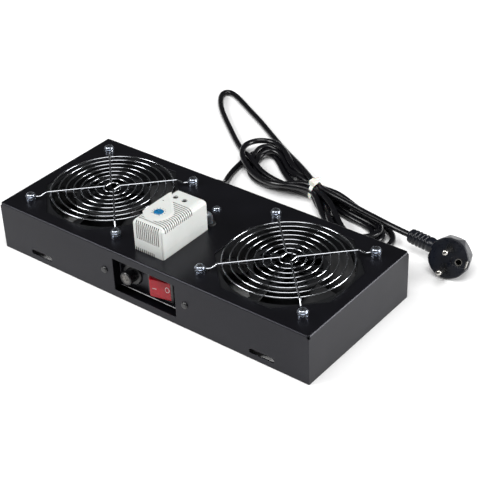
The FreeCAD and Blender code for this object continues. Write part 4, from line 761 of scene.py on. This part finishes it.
def cord_points(cord):
    """The whole cord's control points, from the gland to the plug."""
    points = [Vector(p) * MM for p in LEAD]
    for i, place in enumerate(LEFTWARD_PLACES):
        points += strand(cord, RIGHTWARD_PLACES[i], 1)
        points += turn_points(cord, RIGHT_OUTLINE, RIGHT_BEARING, RIGHT_TURNS[i])
        points += strand(cord, place, -1)
        if i < len(LEFT_TURNS):
            points += turn_points(cord, LEFT_OUTLINE, LEFT_BEARING, LEFT_TURNS[i])
    points += [Vector(p) * MM for p in LONG_LOOP]
    points += strand(cord, RIGHTWARD_PLACES[-1], 1)
    return points + [Vector(p) * MM for p in PLUG_LEAD]


def evenly(points, step):
    """The curve that the points steer, as points about that far apart, both ends kept."""
    shares = [i / 12 for i in range(1, 13)]
    spots = [points[0]]
    for a, b, c in zip(points, points[1:], points[2:]):
        a = a if a is points[0] else (a + b) / 2
        c = c if c is points[-1] else (b + c) / 2
        spots += [a * (1 - t) ** 2 + b * 2 * t * (1 - t) + c * t * t for t in shares]
    lengths = [(b - a).length for a, b in zip(spots, spots[1:])]
    count = round(sum(lengths) / step)
    laid, gone, i = [spots[0]], 0.0, 0
    for k in range(1, count):
        aim = sum(lengths) * k / count
        while gone + lengths[i] < aim:
            gone += lengths[i]
            i += 1
        laid.append(spots[i].lerp(spots[i + 1], (aim - gone) / lengths[i]))
    return laid + [spots[-1]]


def push_apart(points, pairs, gap, firmness=0.3):
    """Moves each two links that touch part of the way to where their nearest spots are the gap apart."""
    parallel, meeting = 1e-12, 1e-6
    for i, j in pairs:
        here, there = points[i], points[j]
        one, two = points[i + 1] - here, points[j + 1] - there
        between = here - there
        a, b, c, d, e = one.dot(one), one.dot(two), two.dot(two), one.dot(between), two.dot(between)
        spread = a * c - b * b
        s = min(1.0, max(0.0, (b * e - c * d) / spread)) if spread > parallel else 0.5
        t = min(1.0, max(0.0, (b * s + e) / c))
        s = min(1.0, max(0.0, (b * t - d) / a))
        apart = between + one * s - two * t
        if apart.length < gap:
            way = apart.normalized() if apart.length > meeting else Vector((0, 0, 1))
            push = way * (gap - apart.length) * firmness
            points[i] += push * (1 - s)
            points[i + 1] += push * s
            points[j] -= push * (1 - t)
            points[j + 1] -= push * t


def settle(points, first, last, cord, rounds=60):
    """Lets the turns between two control points spring out of tight bends and out of one another."""
    step, held, off_floor = 11 * MM, 10 * MM, 0.1 * MM
    near, renewed_every = 3.5 * step, 15
    easing, stiffening, evening = 0.2, 0.3, 0.3
    smallest_bend = 2.4  # cord diameters: a bend that is tighter is pulled harder
    tie = Vector(cord.tie_place)
    turns = evenly(points[first:last], step)
    points = points[:first] + turns + points[last:]
    last = first + len(turns)
    free = [first < i < last - 1 and (p - tie).length > held for i, p in enumerate(points)]
    slack = step * step / (2 * cord.diameter * smallest_bend)
    for done in range(rounds):
        if done % renewed_every == 0:
            pairs = [(i, j) for i in range(len(points) - 1) for j in range(i + 3, len(points) - 1)
                     if (free[i] or free[j]) and (points[i] - points[j]).length < near]
        before = [p.copy() for p in points]
        push_apart(points, pairs, cord.diameter)
        bows = [(a + c) / 2 - b for a, b, c in zip(points, points[1:], points[2:])]
        over = [max(0, 1 - slack / max(bow.length, slack / 10)) for bow in bows]
        pulls = [bow * (easing + stiffening * share) for bow, share in zip(bows, over)]
        for i in range(first + 1, last - 1):
            along = (points[i + 1] - points[i - 1]).normalized()
            shift = pulls[i - 1] - (pulls[i - 2] + pulls[i]) / 2
            points[i] += shift - along * shift.dot(along) + along * bows[i - 1].dot(along) * evening
        for i, loose in enumerate(free):
            if not loose:
                points[i] = before[i]
            points[i].z = max(points[i].z, cord.diameter / 2 + off_floor)
    return points


def make_cord(cord):
    """The mains cord as one smooth open spline, settled from the lead's last points to the long loop."""
    first, last = len(LEAD) - 4, -len(LONG_LOOP) - len(PLUG_LEAD)
    points = settle(cord_points(cord), first, last, cord)
    curve = bpy.data.curves.new("mains_cord", "CURVE")
    curve.dimensions = "3D"
    curve.bevel_depth = cord.diameter / 2
    curve.bevel_resolution = 6
    curve.resolution_u = 8
    spline = curve.splines.new("NURBS")
    spline.points.add(len(points) - 1)
    for control, point in zip(spline.points, points):
        control.co = (*point, 1)
    spline.order_u = 3
    spline.use_endpoint_u = True
    return piece("mains_cord", curve, cord_pvc, "tray"), points


def swept(name, sections, maker, body):
    """A closed tube of faces through rows of points, capped at both ends."""
    mesh = bmesh.new()
    rows = [[mesh.verts.new(point) for point in row] for row in sections]
    count = len(rows[0])
    for here, there in zip(rows, rows[1:]):
        for i in range(count):
            j = (i + 1) % count
            mesh.faces.new((here[i], here[j], there[j], there[i]))
    mesh.faces.new(list(reversed(rows[0])))
    mesh.faces.new(rows[-1])
    bmesh.ops.recalc_face_normals(mesh, faces=mesh.faces[:])
    for face in mesh.faces:
        face.smooth = len(face.verts) == 4
    data = bpy.data.meshes.new(name)
    mesh.to_mesh(data)
    mesh.free()
    return piece(name, data, maker, body)


def rounded_square(middle, across, above, half, steps=32, power=3.2):
    """Points of a square with well rounded corners, squarer with more power."""
    row = []
    for i in range(steps):
        angle = math.tau * i / steps
        c, s = math.cos(angle), math.sin(angle)
        stretch = (abs(c) ** power + abs(s) ** power) ** (-1 / power)
        row.append(middle + (across * c + above * s) * stretch * half)
    return row


def make_relief():
    """The ribbed, squarish sleeve where the cord runs into the plug."""
    start, end = Vector((135.4, 135.4, 16.1)) * MM, Vector((181.35, 133.1, 13.65)) * MM
    along = (end - start).normalized()
    across = along.cross(Vector((0, 0, 1))).normalized()
    above = across.cross(along)
    # How far along the sleeve, and half its width there, in millimetres.
    profile = [(0, 4.4), (0.3, 5.2), (1.4, 5.8), (3, 5.9)]
    first_groove, pitch, deep = 3.4, 3.8, 5.35
    for rib in range(5):
        foot = first_groove + rib * pitch
        profile += [(foot, 6.0), (foot + 0.3, deep), (foot + 1.5, deep), (foot + 1.8, 6.1), (foot + 3.5, 6.2)]
    profile += [(23.6, 6.2), (25, 5.7), (30, 5.9), (38, 6.6)]
    sections = [rounded_square(start + along * s * MM, across, above, half * MM) for s, half in profile]
    return swept("plug_relief", sections, plug_pvc, "tray")


def plug_face(u, v):
    """A point on the plug's face, that many millimetres towards its earth socket and across it."""
    turned = Matrix.Rotation(math.radians(11.3), 3, "Z") @ Matrix.Rotation(math.radians(70.2), 3, "X")
    turned = turned @ Matrix.Rotation(math.radians(-7.9), 3, "Z")
    return Vector((184.2, 118.8, 18.9)) * MM + turned @ Vector((u, v, 0)) * MM


def make_earth_rim():
    """The bright edge of the long hollow about the earth socket, which comes out far too small.

    Its outline is turned to metres here and once more in plug_face, so it is a speck on the plug's face.
    """
    middle, straight = 10, 3.15
    rows = []
    for half in (4.2, 4.85):
        row = []
        for end in (1, -1):
            for i in range(13):
                angle = math.radians(-90 + 15 * i) + (0 if end > 0 else math.pi)
                along = (middle + end * straight + half * math.cos(angle)) * MM
                row.append(plug_face(along, half * MM * math.sin(angle)))
        rows.append(row)
    outward = (plug_face(1, 0) - plug_face(0, 0)).cross(plug_face(0, 1) - plug_face(0, 0))
    inward = -outward.normalized()
    return print_on("earth_rim", "plug_body", inward, [(rows[0], rows[1], True)], nickel, "tray")


def make_tie_tail():
    """The cut end of the tie's strap, standing out of its head towards the back."""
    low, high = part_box("cable_tie")
    middle = Vector(((low.x + high.x) / 2, (low.y + high.y) / 2 - 3 * MM, high.z - 2 * MM))
    aside, reach, droop = 0.4 * MM, 11 * MM, 3 * MM
    half_width, thick, narrowing = 1.7 * MM, 0.55 * MM, 0.25
    sections = []
    for i in range(9):
        share = i / 8
        spot = middle + Vector((aside * share, 2 * MM + reach * share, 1.2 * MM - droop * share ** 2))
        half = half_width * (1 - narrowing * share ** 4)
        row = [(-half, -thick), (half, -thick), (half, thick), (-half, thick)]
        sections.append([spot + Vector((a, 0, b)) for a, b in row])
    return swept("tie_tail", sections, natural_nylon, "tray")


class FANTRAY_OT_cord(Operator):
    """Lays the mains cord with its hank and tie, and finishes the plug"""

    bl_idname = "fan_tray.cord"
    bl_label = "Mains cord"

    def execute(self, context):
        cord = settings()[1]
        dress_nodes("cord_gland", "cable_tie", "plug_")
        made, points = make_cord(cord)
        relief, rim, tail = make_relief(), make_earth_rim(), make_tie_tail()
        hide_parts("cord_lead", "cord_big_loop", "cord_plug_lead", "cord_hank")
        return {"FINISHED"}


# ---------------------------------------------------------------- add-on


class FANTRAY_PT_looks(Panel):
    """Buttons and settings for the tray's looks"""

    bl_label = "Fan tray"
    bl_idname = "FANTRAY_PT_looks"
    bl_space_type = "VIEW_3D"
    bl_region_type = "UI"
    bl_category = "Fan tray"

    def draw(self, context):
        for operator in OPERATORS:
            self.layout.operator(operator.bl_idname)
        for group in settings():
            box = self.layout.box()
            for name in group.bl_rna.properties.keys():
                if name not in ("rna_type", "name"):
                    box.prop(group, name)


GROUPS = {"fan_tray_stage": StageSettings, "fan_tray_cord": CordSettings, "fan_tray_dial": DialSettings}
OPERATORS = (
    FANTRAY_OT_stage, FANTRAY_OT_metal, FANTRAY_OT_fans, FANTRAY_OT_thermostat, FANTRAY_OT_controls,
    FANTRAY_OT_cord,
)


def register():
    for group in GROUPS.values():
        bpy.utils.register_class(group)
    for operator in OPERATORS:
        bpy.utils.register_class(operator)
    bpy.utils.register_class(FANTRAY_PT_looks)
    for name, group in GROUPS.items():
        setattr(bpy.types.Scene, name, PointerProperty(type=group))


def unregister():
    for name in GROUPS:
        delattr(bpy.types.Scene, name)
    bpy.utils.unregister_class(FANTRAY_PT_looks)
    for operator in reversed(OPERATORS):
        bpy.utils.unregister_class(operator)
    for group in GROUPS.values():
        bpy.utils.unregister_class(group)


def main():
    """Registers the add-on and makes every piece."""
    register()
    for operator in (bpy.ops.fan_tray.stage, bpy.ops.fan_tray.metal, bpy.ops.fan_tray.fans,
                     bpy.ops.fan_tray.thermostat, bpy.ops.fan_tray.controls, bpy.ops.fan_tray.cord):
        operator()
    bpy.context.view_layer.update()


if __name__ == "__main__":
    main()
